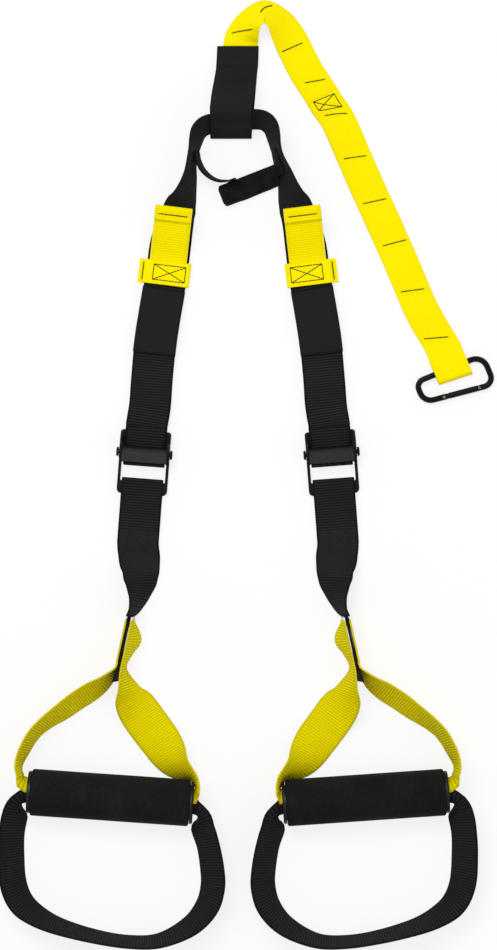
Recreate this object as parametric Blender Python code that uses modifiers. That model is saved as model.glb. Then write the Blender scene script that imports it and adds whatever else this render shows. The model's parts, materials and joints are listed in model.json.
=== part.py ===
"""Suspension trainer: webbing straps, cam buckles, foam grips and a carabiner.

The trainer lies flat with +Z up and +Y towards the top of its anchor strap.
All lengths are in metres and all angles in degrees. The two arms mirror each
other, so an arm is described once, with X pointing away from the middle.
"""
import math

import bmesh
import bpy
from mathutils import Matrix, Vector

# Webbing stock
WEBBING_WIDTH = 0.0365
WEBBING_THICKNESS = 0.0018
YELLOW_WIDTH = 0.031
YELLOW_THICKNESS = 0.0016
KEEPER_WIDTH = 0.0235
KEEPER_THICKNESS = 0.0014
BAND_WIDTH = 0.020
BAND_THICKNESS = 0.0015
PLY_GAP = 0.0003
STEP_LENGTH = 0.007

# Middle of the whole trainer, seen from the plane that the arms mirror in, and
# how far the webbing's bent edges dip below their own line
PLAN_MIDDLE_X = 0.0078
PLAN_MIDDLE_Y = 0.0024
FLOOR_CLEARANCE = 0.00014

# Arms: where the cam pins lie and how the straps splay
BUCKLE_OFFSET = 0.0839
BUCKLE_RISE = 0.0194
BUCKLE_TILT = 4.4
TRACK_TILT = 7.0
TRACK_LENGTH = 0.210
TRACK_BOW = 0.0025

# Crown: the main strap's turn through the end loop
CROWN_RISE = 0.0909
CROWN_LEAN = 55.0
CROWN_TUCK = 0.006
CROWN_LIFT = 0.0006
CROWN_ROUTE_SHARES = (
    (0.950, 0.149, 18.0), (0.923, 0.218, 34.0), (0.859, 0.297, 50.0),
    (0.803, 0.376, 60.0), (0.760, 0.455, 67.0), (0.719, 0.535, 71.0),
    (0.667, 0.634, 73.0), (0.655, 0.733, 73.0), (0.633, 0.832, 71.0),
    (0.583, 0.922, 66.0), (0.472, 0.982, 60.0), (0.274, 1.000, 55.0),
)

# End loop: the black sleeve over the crown
SLEEVE_LENGTH = 0.082
SLEEVE_DRIFT = 0.0063
SLEEVE_CLEARANCE = 0.0045
SLEEVE_SEWN_LENGTH = 0.022

# Anchor strap, from the sleeve over its apex to the carabiner
ANCHOR_SPAN = 0.1917
ANCHOR_DROP = 0.2896
ANCHOR_POCKETS = 6
ANCHOR_JOIN_SHARE = 0.153
ANCHOR_TURN_REACH = 0.011
ANCHOR_POCKET_BULGE = 0.0015
ANCHOR_CLOSE_SHARE = 2.6
ANCHOR_APPROACH_SHARES = (2.0, 1.0, 0.0)
ANCHOR_ROUTE_SHARES = (
    (0.008, -0.055, 0.0), (0.012, 0.004, 0.0), (0.015, 0.014, 0.0), (0.023, 0.037, -18.0),
    (0.056, 0.078, -42.0), (0.122, 0.106, -46.0), (0.188, 0.081, -38.0),
    (0.230, 0.040, -18.0), (0.263, -0.003, -4.0), (0.296, -0.047, 0.0),
    (0.329, -0.087, 0.0), (0.376, -0.134, 0.0), (0.418, -0.180, 0.0),
    (0.472, -0.233, 0.0), (0.538, -0.333, 0.0), (0.603, -0.432, 0.0),
    (0.671, -0.531, 0.0), (0.739, -0.631, 0.0), (0.803, -0.730, 0.0),
    (0.869, -0.830, 0.0),
)

# Carabiner
CARABINER_WIRE = 0.0055
CARABINER_LENGTH = 0.0647
CARABINER_DEPTH = 0.0279
CARABINER_TAPER = 0.0086
SPINE_TILT = 22.2
SPINE_REACH = 0.0304
CORNER_RADII = (0.010, 0.007, 0.011, 0.008)
GATE_LENGTH = 0.0358
GATE_TIP_SETBACK = 0.0012
GATE_START = 0.0185
GATE_SHOULDER = 0.0042
GATE_BORE = 0.0034
GATE_BORE_LENGTH = 0.0264
GATE_SLOT = 0.0026
GATE_SLOT_DEPTH = 0.0045
GATE_PIN = 0.0016
GATE_PIN_HOLE = 0.0022
GATE_PIN_INSET = 0.0004
TANG_REACH = 0.0024
NOSE_PIN_SETBACK = 0.0030
PLUNGER_SETBACK = 0.0012
PLUNGER_LENGTH = 0.006
GATE_SPRING_WIRE = 0.0005
GATE_SPRING_TURNS = 7

# Adjuster: sewn tab, keeper and pull tag at the end of the tail
KEEPER_DISTANCE = 0.162
TAB_LENGTH = 0.071
TAB_RISE = 0.0068
HEM_LENGTH = 0.0126
PATCH_LENGTH = 0.059
PATCH_WIDTH = 0.0375
PATCH_THICKNESS = 0.0012
TAG_REACH = 0.0065
TAB_ROUTE_SHARES = ((0.48, 0.4), (0.298, 0.08), (0.199, 0.0))

# Cam buckle
FRAME_SIDE_ROOM = 0.0018
FRAME_PLATE = 0.002
FRAME_RAIL = 0.0027
FRAME_TOP = 0.0205
FRAME_BOTTOM = 0.0372
CROSS_BAR_EDGE = 0.0086
LOWER_BAR_WIDTH = 0.0117
EAR_LENGTH = 0.0275
EAR_HEIGHT = 0.0158
EAR_INSET = 0.00015
CAM_RADIUS = 0.0062
CAM_TOOTH = 0.0007
CAM_TEETH = 7
CAM_PIN = 0.004
PIN_HEAD = 0.0084
PIN_HEAD_THICKNESS = 0.0022
LEVER_LENGTH = 0.0125
LEVER_THICKNESS = 0.0022
LEVER_RIM = 0.0034
SWING_SETBACK = 0.001
CAM_SPRING_WIRE = 0.0008
CAM_SPRING_TURNS = 4
FIT_GAP = 0.0004

# Finest distance that the modelling tools merge, and how far a cut overruns
WELD_DISTANCE = 0.00001
OVERRUN = 0.002

# Lower strap and handle
WRAP_LENGTH = 0.091
LOWER_SPAN = 0.055
LOWER_DRIFT_SHARE = 0.106
GRIP_TILT = 3.95
FOAM_LENGTH = 0.1422
FOAM_DIAMETER = 0.042
FOAM_EDGE = 0.002
TUBE_BORE = 0.0268
TUBE_WALL = 0.0012
YELLOW_CURL_RADIUS = 0.0121
FOOT_CURL_RADIUS = 0.0089
CAP_FLANGE = 0.003
CAP_DIAMETER = 0.0378
CAP_COLLAR = 0.001
CAP_COLLAR_LENGTH = 0.008
BORE_FLARE = 0.0046
BORE_ROUTE_SHARES = ((0.55, 0.34, 0.35), (0.92, 1.06, 0.1), (1.0, 1.95, 0.0))
HANDLE_REACH = 0.158
JOINT_END_SHARES = (0.0158, 0.658)
JOINT_LENGTH_SHARE = 0.377
JOINT_TILT = 8.4
FOOT_REACH = 0.128
FOOT_HALF_WIDTH = 0.092
FOOT_FLARE = 0.0125

LOWER_ROUTE_SHARES = (
    (0.263, -0.076, 24.0), (0.421, -0.090, 40.0), (0.585, -0.094, 54.0),
    (0.747, -0.082, 67.0), (0.879, -0.050, 79.0),
)
OUTER_LEG_SHARES = (
    (0.054, 0.680, 76.0, 0.0), (0.092, 0.636, 68.0, 0.0), (0.148, 0.592, 62.0, 0.0),
    (0.232, 0.529, 62.0, 0.0), (0.305, 0.467, 64.0, 0.0), (0.383, 0.405, 69.0, 0.1),
    (0.446, 0.342, 74.0, 0.4), (0.484, 0.278, 79.0, 0.7), (0.498, 0.209, 85.0, 0.9),
)
INNER_LEG_SHARES = (
    (-0.487, 0.158, 76.0, 0.9), (-0.449, 0.190, 60.0, 0.6), (-0.386, 0.222, 44.0, 0.3),
    (-0.329, 0.260, 28.0, 0.1), (-0.278, 0.305, 13.0, 0.1), (-0.228, 0.362, 3.0, 0.1),
    (-0.177, 0.424, -3.0, 0.1), (-0.127, 0.491, -12.0, 0.1), (-0.082, 0.560, -34.0, 0.0),
    (-0.056, 0.622, -62.0, 0.0),
)
FOOT_ROUTE_SHARES = (
    (0.941, -0.233, 62.0, 0.6), (0.932, -0.430, 55.0, 0.0), (0.892, -0.640, 55.0, 0.0),
    (0.801, -0.776, 58.0, 0.0), (0.646, -0.860, 65.0, 0.0), (0.414, -0.926, 73.0, 0.0),
    (0.056, -0.979, 78.0, 0.0), (-0.280, -1.000, 79.0, 0.0), (-0.572, -0.976, 76.0, 0.0),
    (-0.855, -0.863, 66.0, 0.0), (-1.008, -0.722, 58.0, 0.0), (-1.053, -0.579, 55.0, 0.0),
    (-1.050, -0.438, 55.0, 0.0), (-1.012, -0.249, 60.0, 0.6),
)

# Hook and loop bands across the crown
BAND_ROUTE_SHARES = (
    (-0.575, 0.707, -73.0), (-0.590, 0.620, -73.0), (-0.545, 0.520, -62.0),
    (-0.446, 0.449, -30.0), (-0.326, 0.394, -5.0), (-0.189, 0.361, 0.0),
    (-0.034, 0.350, 0.0), (0.137, 0.372, 0.0), (0.309, 0.405, 0.0),
)
FLAP_ROOT_SHARES = (
    (0.558, 0.790, 73.0), (0.580, 0.700, 73.0), (0.578, 0.600, 66.0),
    (0.523, 0.515, 46.0), (0.429, 0.465, 24.0), (0.309, 0.427, 8.0), (0.206, 0.401, 0.0),
)
FLAP_ROUTE_SHARES = (
    (0.200, 0.3995, 0.0), (0.103, 0.375, 0.0), (-0.034, 0.328, 0.0), (-0.257, 0.251, 0.0),
)

BLACK_WEB_COLOUR = (0.018, 0.018, 0.020, 1.0)
YELLOW_WEB_COLOUR = (0.90, 0.78, 0.01, 1.0)
FOAM_BLACK_COLOUR = (0.012, 0.012, 0.013, 1.0)
PLASTIC_BLACK_COLOUR = (0.010, 0.010, 0.011, 1.0)
COATED_STEEL_COLOUR = (0.022, 0.022, 0.024, 1.0)
ANODISED_BLACK_COLOUR = (0.008, 0.008, 0.009, 1.0)
SPRING_STEEL_COLOUR = (0.42, 0.42, 0.43, 1.0)

SIDE_SIGNS = (("left", -1), ("right", 1))


def clear_scene():
    """Remove every object that the file holds."""
    for old in list(bpy.data.objects):
        bpy.data.objects.remove(old, do_unlink=True)


def make_collection(name):
    """Return a new collection linked to the scene."""
    group = bpy.data.collections.new(name)
    bpy.context.scene.collection.children.link(group)
    return group


def make_material(name, colour, roughness, metallic=0.0):
    """Return a Principled material."""
    material = bpy.data.materials.new(name)
    material.use_nodes = True
    shader = material.node_tree.nodes["Principled BSDF"]
    shader.inputs["Base Color"].default_value = colour
    shader.inputs["Roughness"].default_value = roughness
    shader.inputs["Metallic"].default_value = metallic
    material.diffuse_color = colour
    return material


def webbing_material(name, colour):
    """Return the material of woven webbing."""
    return make_material(name, colour, 0.75)


def coated_metal(name):
    """Return the material of a black coated steel part."""
    return make_material(name, COATED_STEEL_COLOUR, 0.38, 0.8)


def move_to(group, thing):
    """Put an object into one collection only."""
    for old in list(thing.users_collection):
        old.objects.unlink(thing)
    group.objects.link(thing)


def finish(thing, name, material, body, sharp=35.0):
    """Name an object, dress it, and hang it on its body's empty."""
    thing.name = name
    thing.data.name = name
    thing.data.materials.clear()
    thing.data.materials.append(material)
    thing.data.shade_smooth()
    thing.data.set_sharp_from_angle(angle=math.radians(sharp))
    move_to(PARTS, thing)
    thing.parent = body
    thing.location = -BODY_PLACES[body.name]
    return thing


def make_body(name, place, parent):
    """Return an empty on a joint's axis, which carries one moving body."""
    empty = bpy.data.objects.new(name, None)
    empty.empty_display_size = WEBBING_WIDTH
    PARTS.objects.link(empty)
    empty.parent = parent
    empty.location = Vector(place) - BODY_PLACES[parent.name]
    BODY_PLACES[name] = Vector(place)
    return empty


def make_trainer():
    """Return the empty that carries the crown, with the trainer's middle at the origin."""
    empty = bpy.data.objects.new("trainer", None)
    empty.empty_display_size = WEBBING_WIDTH
    empty.location = (-PLAN_MIDDLE_X, -PLAN_MIDDLE_Y, FLOOR_CLEARANCE)
    PARTS.objects.link(empty)
    BODY_PLACES[empty.name] = Vector((0.0, 0.0, 0.0))
    return empty


def flatten(thing):
    """Turn an object and its modifiers into a plain mesh object."""
    bpy.context.view_layer.update()
    graph = bpy.context.evaluated_depsgraph_get()
    mesh = bpy.data.meshes.new_from_object(thing.evaluated_get(graph))
    weld = bmesh.new()
    weld.from_mesh(mesh)
    bmesh.ops.remove_doubles(weld, verts=weld.verts, dist=WELD_DISTANCE)
    weld.to_mesh(mesh)
    weld.free()
    solid = bpy.data.objects.new(thing.name, mesh)
    solid.matrix_world = thing.matrix_world.copy()
    PARTS.objects.link(solid)
    bpy.data.objects.remove(thing, do_unlink=True)
    return solid


def turned(matrix, thing):
    """Move an object's mesh by a matrix."""
    thing.data.transform(matrix)
    return thing


def cut(thing, tool, operation="DIFFERENCE"):
    """Cut an object with a tool, or join the tool to it."""
    move_to(CUTTERS, tool)
    tool.hide_render = True
    tool.display_type = "WIRE"
    step = thing.modifiers.new("cut", "BOOLEAN")
    step.operation = operation
    step.solver = "EXACT"
    step.object = tool
    solid = flatten(thing)
    bpy.data.objects.remove(tool, do_unlink=True)
    return solid


def box(size, place):
    """Return a box of a given size about a given middle."""
    bpy.ops.mesh.primitive_cube_add(size=1.0, location=(0.0, 0.0, 0.0))
    thing = bpy.context.object
    thing.data.transform(Matrix.Translation(place) @ Matrix.Diagonal((*size, 1.0)))
    return thing


def rod(radius, length, place, axis, sides=16):
    """Return a cylinder along an axis, about a given middle."""
    bpy.ops.mesh.primitive_cylinder_add(vertices=sides, radius=radius, depth=length)
    thing = bpy.context.object
    spin = Vector((0.0, 0.0, 1.0)).rotation_difference(Vector(axis)).to_matrix().to_4x4()
    thing.data.transform(Matrix.Translation(place) @ spin)
    return thing


def outline_plate(name, outlines, thickness):
    """Return a flat plate in XY from closed outlines, about z = 0."""
    curve = bpy.data.curves.new(name, "CURVE")
    curve.dimensions = "2D"
    curve.fill_mode = "BOTH"
    curve.extrude = thickness / 2
    for outline in outlines:
        spline = curve.splines.new("POLY")
        spline.points.add(len(outline) - 1)
        for point, place in zip(spline.points, outline):
            point.co = (*place, 0.0, 1.0)
        spline.use_cyclic_u = True
    thing = bpy.data.objects.new(name, curve)
    PARTS.objects.link(thing)
    return flatten(thing)


def wire(name, points, diameter, resolution=2):
    """Return a round wire with closed ends along a list of points."""
    curve = bpy.data.curves.new(name, "CURVE")
    curve.dimensions = "3D"
    curve.bevel_depth = diameter / 2
    curve.bevel_resolution = resolution
    curve.use_fill_caps = True
    spline = curve.splines.new("POLY")
    spline.points.add(len(points) - 1)
    for point, place in zip(spline.points, points):
        point.co = (*place, 1.0)
    thing = bpy.data.objects.new(name, curve)
    PARTS.objects.link(thing)
    return flatten(thing)


def rounded(corners, radii, steps=4):
    """Return an outline whose corners are rounded by arcs of the given radii."""
    outline = []
    count = len(corners)
    for index, (corner, radius) in enumerate(zip(corners, radii)):
        here = Vector(corner)
        back = (Vector(corners[index - 1]) - here).normalized()
        ahead = (Vector(corners[(index + 1) % count]) - here).normalized()
        half = back.angle(ahead) / 2
        reach = radius / math.tan(half)
        middle = here + (back + ahead).normalized() * radius / math.sin(half)
        start = here + back * reach - middle
        end = here + ahead * reach - middle
        sweep = start.angle_signed(end)
        for step in range(steps + 1):
            turn = -sweep * step / steps
            outline.append(tuple(middle + Matrix.Rotation(turn, 2) @ start))
    return outline


def helix(radius, start, end, turns, steps):
    """Return the points of a coil along X."""
    count = turns * steps
    points = []
    for index in range(count + 1):
        angle = 2 * math.pi * index / steps
        along = start + (end - start) * index / count
        points.append(Vector((along, radius * math.cos(angle), radius * math.sin(angle))))
    return points


def turned_profile(name, profile, steps, ring=False):
    """Turn a profile of radius and distance pairs, closed or ending on the axis, about X."""
    mesh = bpy.data.meshes.new(name)
    shape = bmesh.new()
    corners = [shape.verts.new((radius, 0.0, along)) for radius, along in profile]
    pairs = zip(corners, corners[1:] + corners[:1] if ring else corners[1:])
    for here, there in pairs:
        shape.edges.new((here, there))
    shape.to_mesh(mesh)
    shape.free()
    thing = bpy.data.objects.new(name, mesh)
    PARTS.objects.link(thing)
    screw = thing.modifiers.new("turn", "SCREW")
    screw.steps = steps
    screw.render_steps = steps
    screw.use_merge_vertices = True
    screw.merge_threshold = WELD_DISTANCE
    solid = flatten(thing)
    return turned(Matrix.Rotation(math.radians(90.0), 4, "Y"), solid)


def spread(stations, spacing):
    """Return stations at an even spacing on a smooth curve through the given ones."""
    rows = [Vector(row) for row in stations]
    rows = [2 * rows[0] - rows[1]] + rows + [2 * rows[-1] - rows[-2]]
    result = [rows[1]]
    for index in range(1, len(rows) - 2):
        before, here, there, after = rows[index - 1:index + 3]
        length = (there.xyz - here.xyz).length
        count = max(1, round(length / spacing))
        for step in range(1, count + 1):
            share = step / count
            result.append(0.5 * (
                2 * here + (there - before) * share
                + (2 * before - 5 * here + 4 * there - after) * share ** 2
                + (3 * here - before - 3 * there + after) * share ** 3))
    return result


def ribbon(name, places, widths, normals, curls, width, thickness, across=1):
    """Return a strap along places, with its width and face directions at each.

    A curl is the angle through which the strap's section bends.
    """
    rows = len(places)
    bpy.ops.mesh.primitive_grid_add(x_subdivisions=across, y_subdivisions=rows - 1, size=1.0)
    thing = bpy.context.object
    thing.name = name
    order = sorted(thing.data.vertices, key=lambda vertex: (round(vertex.co.y, 5), vertex.co.x))
    for index, vertex in enumerate(order):
        row, column = divmod(index, across + 1)
        share = column / across - 0.5
        curl = math.radians(curls[row])
        if curl > 0.01:
            side = width / curl * math.sin(share * curl)
            sag = width / curl * (1.0 - math.cos(share * curl))
        else:
            side = width * share
            sag = 0.0
        vertex.co = places[row] + widths[row] * side + normals[row] * sag
    skin = thing.modifiers.new("thickness", "SOLIDIFY")
    skin.thickness = thickness
    skin.offset = 0.0
    return thing


def strap_rows(rows, width, thickness, side=1.0):
    """Return places, width directions and face directions of a strap that lies or leans."""
    places, widths, normals = [], [], []
    for index, row in enumerate(rows):
        x, y, _, lift, lean = row[:5]
        ahead = rows[min(index + 1, len(rows) - 1)].xyz - rows[max(index - 1, 0)].xyz
        left = Vector((-ahead.y, ahead.x, 0.0)).normalized()
        lean = math.radians(lean)
        height = lift + abs(math.sin(lean)) * width / 2 + abs(math.cos(lean)) * thickness / 2
        way = left * math.cos(lean) + Vector((0.0, 0.0, math.sin(lean)))
        face = left * math.sin(lean) - Vector((0.0, 0.0, math.cos(lean)))
        places.append(Vector((x * side, y, height)))
        widths.append(Vector((way.x * side, way.y, way.z)))
        normals.append(Vector((face.x * side, face.y, face.z)))
    return places, widths, normals


def lying_strap(name, stations, width, thickness, side=1.0, across=1, spacing=STEP_LENGTH):
    """Return a strap that lies or leans on the floor.

    Each station holds X, Y, the height of the lower edge, the lean from flat
    and the curl. The lean turns the strap up about its own run.
    """
    rows = spread([(x, y, 0.0, lift, lean, curl) for x, y, lift, lean, curl in stations], spacing)
    places, widths, normals = strap_rows(rows, width, thickness, side)
    curls = [max(row[5], 0.0) for row in rows]
    return ribbon(name, places, widths, normals, curls, width, thickness, across)


def folded_strap(name, points, frame, width, thickness, side=1.0):
    """Return a strap that folds in an upright plane, from distance and height pairs."""
    places, widths, normals = [], [], []
    for along, height, *shift in points:
        place = frame @ Vector((shift[0] if shift else 0.0, along, height))
        places.append(Vector((place.x * side, place.y, place.z)))
        across_strap = frame.to_3x3() @ Vector((1.0, 0.0, 0.0))
        widths.append(Vector((across_strap.x * side, across_strap.y, 0.0)))
        normals.append(Vector((0.0, 0.0, 1.0)))
    return ribbon(name, places, widths, normals, [0.0] * len(places), width, thickness)


def plan_frame(x, y, tilt):
    """Return a frame in the plan, turned by a tilt towards the middle."""
    return Matrix.Translation((x, y, 0.0)) @ Matrix.Rotation(math.radians(tilt), 4, "Z")


def arc(middle, radius, start, end, steps):
    """Return points on an arc in distance and height."""
    result = []
    for step in range(steps + 1):
        angle = math.radians(start + (end - start) * step / steps)
        result.append((middle[0] + radius * math.cos(angle), middle[1] + radius * math.sin(angle)))
    return result


def run_heights():
    """Return the centre heights of the layers at the keeper, from the floor up."""
    run = KEEPER_THICKNESS + PLY_GAP + WEBBING_THICKNESS / 2
    tail = run + WEBBING_THICKNESS + PLY_GAP
    tab = tail + (WEBBING_THICKNESS + YELLOW_THICKNESS) / 2 + PLY_GAP
    top = tab + (YELLOW_THICKNESS + KEEPER_THICKNESS) / 2 + PLY_GAP
    return run, tail, tab, top


def buckle_heights():
    """Return the centre heights at the buckle: run, plate, tail, and the cam's axis."""
    run = PLY_GAP + WEBBING_THICKNESS / 2
    plate = run + (WEBBING_THICKNESS + FRAME_PLATE) / 2 + PLY_GAP
    tail = plate + (WEBBING_THICKNESS + FRAME_PLATE) / 2 + PLY_GAP
    cam = tail + WEBBING_THICKNESS / 2 + PLY_GAP + CAM_RADIUS
    return run, plate, tail, cam


def track_point(distance, bowed=0.0):
    """Return the place on an arm's track at a distance above its cam pin."""
    tilt = math.radians(TRACK_TILT)
    x = BUCKLE_OFFSET - distance * math.sin(tilt)
    y = BUCKLE_RISE + distance * math.cos(tilt)
    return x + bowed * TRACK_BOW, y


def crown_stations():
    """Return the crown's stations from its left end to its right end."""
    end_x, base_y = track_point(TRACK_LENGTH)
    next_x, next_y = track_point(TRACK_LENGTH + CROWN_TUCK)
    floor_lift = run_heights()[0] - WEBBING_THICKNESS / 2
    fold_lift = WEBBING_THICKNESS + 2 * PLY_GAP + CROWN_LIFT
    half = [(-end_x, base_y, floor_lift, 0.0, 0.0), (-next_x, next_y, floor_lift, 5.0, 0.0)]
    for x_share, y_share, lean in CROWN_ROUTE_SHARES:
        low_share = max(0.0, 1.0 - y_share / 0.3)
        high_share = min(1.0, max(0.0, (y_share - 0.73) / 0.19))
        lift = floor_lift * low_share + fold_lift * high_share
        half.append((-x_share * end_x, base_y + y_share * CROWN_RISE, lift, lean, 0.0))
    middle = [(0.0, base_y + CROWN_RISE, fold_lift, CROWN_LEAN, 0.0)]
    return half + middle + [(-row[0], *row[1:]) for row in reversed(half)]


def crown_middle():
    """Return the crown's Y at its middle, and the height of its upper edge there."""
    base_y = track_point(TRACK_LENGTH)[1]
    lean = math.radians(CROWN_LEAN)
    top = WEBBING_THICKNESS + 2 * PLY_GAP + CROWN_LIFT + WEBBING_WIDTH * math.sin(lean)
    return base_y + CROWN_RISE, top + WEBBING_THICKNESS


def build_crown(trainer):
    """Build the main strap where it turns through the end loop."""
    strap = lying_strap("crown", crown_stations(), WEBBING_WIDTH, WEBBING_THICKNESS)
    finish(strap, "main_strap_crown", webbing_material("crown webbing", BLACK_WEB_COLOUR), trainer)


def sleeve_layers():
    """Return the centre heights of the anchor strap and the upper ply in the sewn sleeve."""
    strap = WEBBING_THICKNESS + PLY_GAP + YELLOW_THICKNESS / 2
    upper = strap + (YELLOW_THICKNESS + WEBBING_THICKNESS) / 2 + PLY_GAP
    return strap, upper


def sleeve_fold():
    """Return the Y of the sleeve's fold below the crown."""
    middle_y, _ = crown_middle()
    half = WEBBING_WIDTH / 2 * math.cos(math.radians(CROWN_LEAN))
    return middle_y - half - SLEEVE_CLEARANCE


def build_end_loop(trainer):
    """Build the black sleeve, sewn at its top and folded round the crown."""
    middle_y, crest = crown_middle()
    half = WEBBING_WIDTH / 2 * math.cos(math.radians(CROWN_LEAN))
    fold = sleeve_fold()
    top = fold + SLEEVE_LENGTH
    upper = sleeve_layers()[1]
    lower = WEBBING_THICKNESS / 2
    crest += WEBBING_THICKNESS / 2
    sewn = top - SLEEVE_SEWN_LENGTH
    slope = sewn - middle_y - half
    rows = [
        (top, upper, 0.0), (top - 0.75 * SLEEVE_SEWN_LENGTH, upper, 0.1),
        (sewn, upper, 0.2), (sewn - 0.3 * slope, 0.3 * crest, 0.5),
        (sewn - 0.66 * slope, 0.7 * crest, 0.8), (sewn - 0.86 * slope, 0.93 * crest, 0.9),
        (middle_y + half, 1.02 * crest, 1.0), (middle_y + 0.4 * half, 0.98 * crest, 1.0),
        (middle_y - 0.4 * half, 0.76 * crest, 1.0), (middle_y - half, 0.42 * crest, 1.0),
        (fold, 0.16 * crest, 1.0), (fold, 0.08 * crest, 1.0),
        (fold + 2 * lower, lower, 1.0), (sewn, lower, 0.2), (top, lower, 0.0),
    ]
    frame = plan_frame(0.0, 0.0, 0.0)
    points = [(y, z, -SLEEVE_DRIFT * shift) for y, z, shift in rows]
    smooth = [tuple(row) for row in spread([(x, y, z) for y, z, x in points], STEP_LENGTH)]
    strap = folded_strap("sleeve", [(y, z, x) for x, y, z in smooth], frame,
                         WEBBING_WIDTH, WEBBING_THICKNESS)
    finish(strap, "anchor_end_loop", webbing_material("end loop webbing", BLACK_WEB_COLOUR), trainer)


def anchor_origin():
    """Return where the anchor strap leaves the sleeve."""
    return 0.0, sleeve_fold() + SLEEVE_LENGTH


def spine_frame():
    """Return the carabiner's frame: X along its spine, the gate side at -Y."""
    x, y = anchor_origin()
    height = YELLOW_THICKNESS + PLY_GAP + CARABINER_WIRE / 2
    place = Matrix.Translation((x + ANCHOR_SPAN, y - ANCHOR_DROP, height))
    return place @ Matrix.Rotation(math.radians(SPINE_TILT), 4, "Z")


def build_anchor_strap(trainer):
    """Build the yellow anchor strap, folded back on itself round the carabiner's spine."""
    origin_x, origin_y = anchor_origin()
    sewn_lift = sleeve_layers()[0] - YELLOW_THICKNESS / 2
    spine = spine_frame()
    ahead = spine.to_3x3() @ Vector((0.0, -1.0, 0.0))
    width_way = spine.to_3x3() @ Vector((1.0, 0.0, 0.0))
    axis = spine.translation
    lower = YELLOW_THICKNESS / 2
    upper = 2 * axis.z - lower
    radius = (upper - lower) / 2
    reach = ANCHOR_TURN_REACH - radius - lower
    stations = []
    for x_share, y_share, lean in ANCHOR_ROUTE_SHARES:
        lift = sewn_lift if x_share < 0.02 else 0.0
        stations.append((origin_x + x_share * ANCHOR_SPAN, origin_y + y_share * ANCHOR_DROP,
                         lift, lean, 0.0))
    for back in ANCHOR_APPROACH_SHARES:
        place = axis - ahead * (back * ANCHOR_TURN_REACH)
        stations.append((place.x, place.y, 0.0, 0.0, 0.0))
    rows = spread([(x, y, 0.0, lift, lean) for x, y, lift, lean, _ in stations], STEP_LENGTH)
    places, widths, normals = strap_rows(rows, YELLOW_WIDTH, YELLOW_THICKNESS)
    join_y = origin_y - ANCHOR_JOIN_SHARE * ANCHOR_DROP
    laid = [(place, way) for place, way in zip(places, widths) if place.y < join_y and way.z == 0.0]
    for along, height in arc((reach, axis.z), radius, -90.0, 90.0, 6):
        places.append(Vector((axis.x, axis.y, 0.0)) + ahead * along + Vector((0.0, 0.0, height)))
        widths.append(width_way)
    close = ANCHOR_CLOSE_SHARE * ANCHOR_TURN_REACH
    count = len(laid)
    for index, (place, way) in enumerate(reversed(laid)):
        distance = (Vector((axis.x, axis.y, 0.0)) - Vector((place.x, place.y, 0.0))).length
        rest = lower + YELLOW_THICKNESS + PLY_GAP
        pocket = math.sin(math.pi * ANCHOR_POCKETS * index / (count - 1)) ** 2
        height = rest + ANCHOR_POCKET_BULGE * pocket
        if distance < close:
            share = (1.0 + math.cos(math.pi * distance / close)) / 2
            height = rest + (upper - rest) * share
        places.append(Vector((place.x, place.y, height)))
        widths.append(way)
    normals = [Vector((0.0, 0.0, 1.0))] * len(places)
    strap = ribbon("anchor", places, widths, normals, [0.0] * len(places),
                   YELLOW_WIDTH, YELLOW_THICKNESS)
    finish(strap, "anchor_strap", webbing_material("anchor webbing", YELLOW_WEB_COLOUR), trainer)


def gate_frame():
    """Return the gate's frame in the carabiner: origin on its hinge pin, X to its nose."""
    left = -CARABINER_LENGTH / 2 + (SPINE_REACH - CARABINER_LENGTH / 2)
    tilt = math.atan2(CARABINER_TAPER, CARABINER_LENGTH)
    start_y = -(CARABINER_DEPTH - CARABINER_TAPER) - GATE_START * math.tan(tilt)
    return Matrix.Translation((left + GATE_START, start_y, 0.0)) @ Matrix.Rotation(-tilt, 4, "Z")


def carabiner_path():
    """Return the body's wire from its hinge end round to its nose, in the spine's frame."""
    right = SPINE_REACH
    left = right - CARABINER_LENGTH
    shallow = -(CARABINER_DEPTH - CARABINER_TAPER)
    corners = [(left, shallow), (left, 0.0), (right, 0.0), (right, -CARABINER_DEPTH)]
    bends = rounded(corners, CORNER_RADII, 6)
    gate = gate_frame()
    hinge_end = gate @ Vector((TANG_REACH, 0.0, 0.0))
    nose_end = gate @ Vector((GATE_LENGTH - NOSE_PIN_SETBACK - TANG_REACH, 0.0, 0.0))
    middle = [Vector((x, y, 0.0)) for x, y in bends]
    return [hinge_end] + middle + [nose_end]


def build_carabiner(body):
    """Build the carabiner's wire body, with a flat tang at each end of the gate."""
    wire_radius = CARABINER_WIRE / 2
    thing = wire("carabiner", carabiner_path(), CARABINER_WIRE, 3)
    gate = gate_frame()
    tang = GATE_SLOT - 2 * PLY_GAP
    nose_face = GATE_LENGTH - GATE_TIP_SETBACK + FIT_GAP
    for sign in (-1.0, 1.0):
        side_height = wire_radius
        middle_z = sign * (tang + side_height) / 2
        for low, high in ((-GATE_SHOULDER, GATE_SLOT_DEPTH),
                          (GATE_LENGTH - 2 * GATE_SLOT_DEPTH, nose_face)):
            size = (high - low, 2 * CARABINER_WIRE, side_height)
            slab = turned(gate, box(size, ((low + high) / 2, 0.0, middle_z)))
            thing = cut(thing, slab)
    for along in (0.0, GATE_LENGTH - NOSE_PIN_SETBACK):
        hole = rod(GATE_PIN_HOLE / 2, CARABINER_WIRE, (along, 0.0, 0.0), (0.0, 0.0, 1.0), 12)
        thing = cut(thing, turned(gate, hole))
    mouth = box((GATE_PIN_HOLE, CARABINER_WIRE, CARABINER_WIRE),
                (GATE_LENGTH - NOSE_PIN_SETBACK, CARABINER_WIRE / 2, 0.0))
    thing = cut(thing, turned(gate, mouth))
    turned(spine_frame(), thing)
    metal = make_material("carabiner black", ANODISED_BLACK_COLOUR, 0.18, 0.9)
    finish(thing, "carabiner_body", metal, body)


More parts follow.
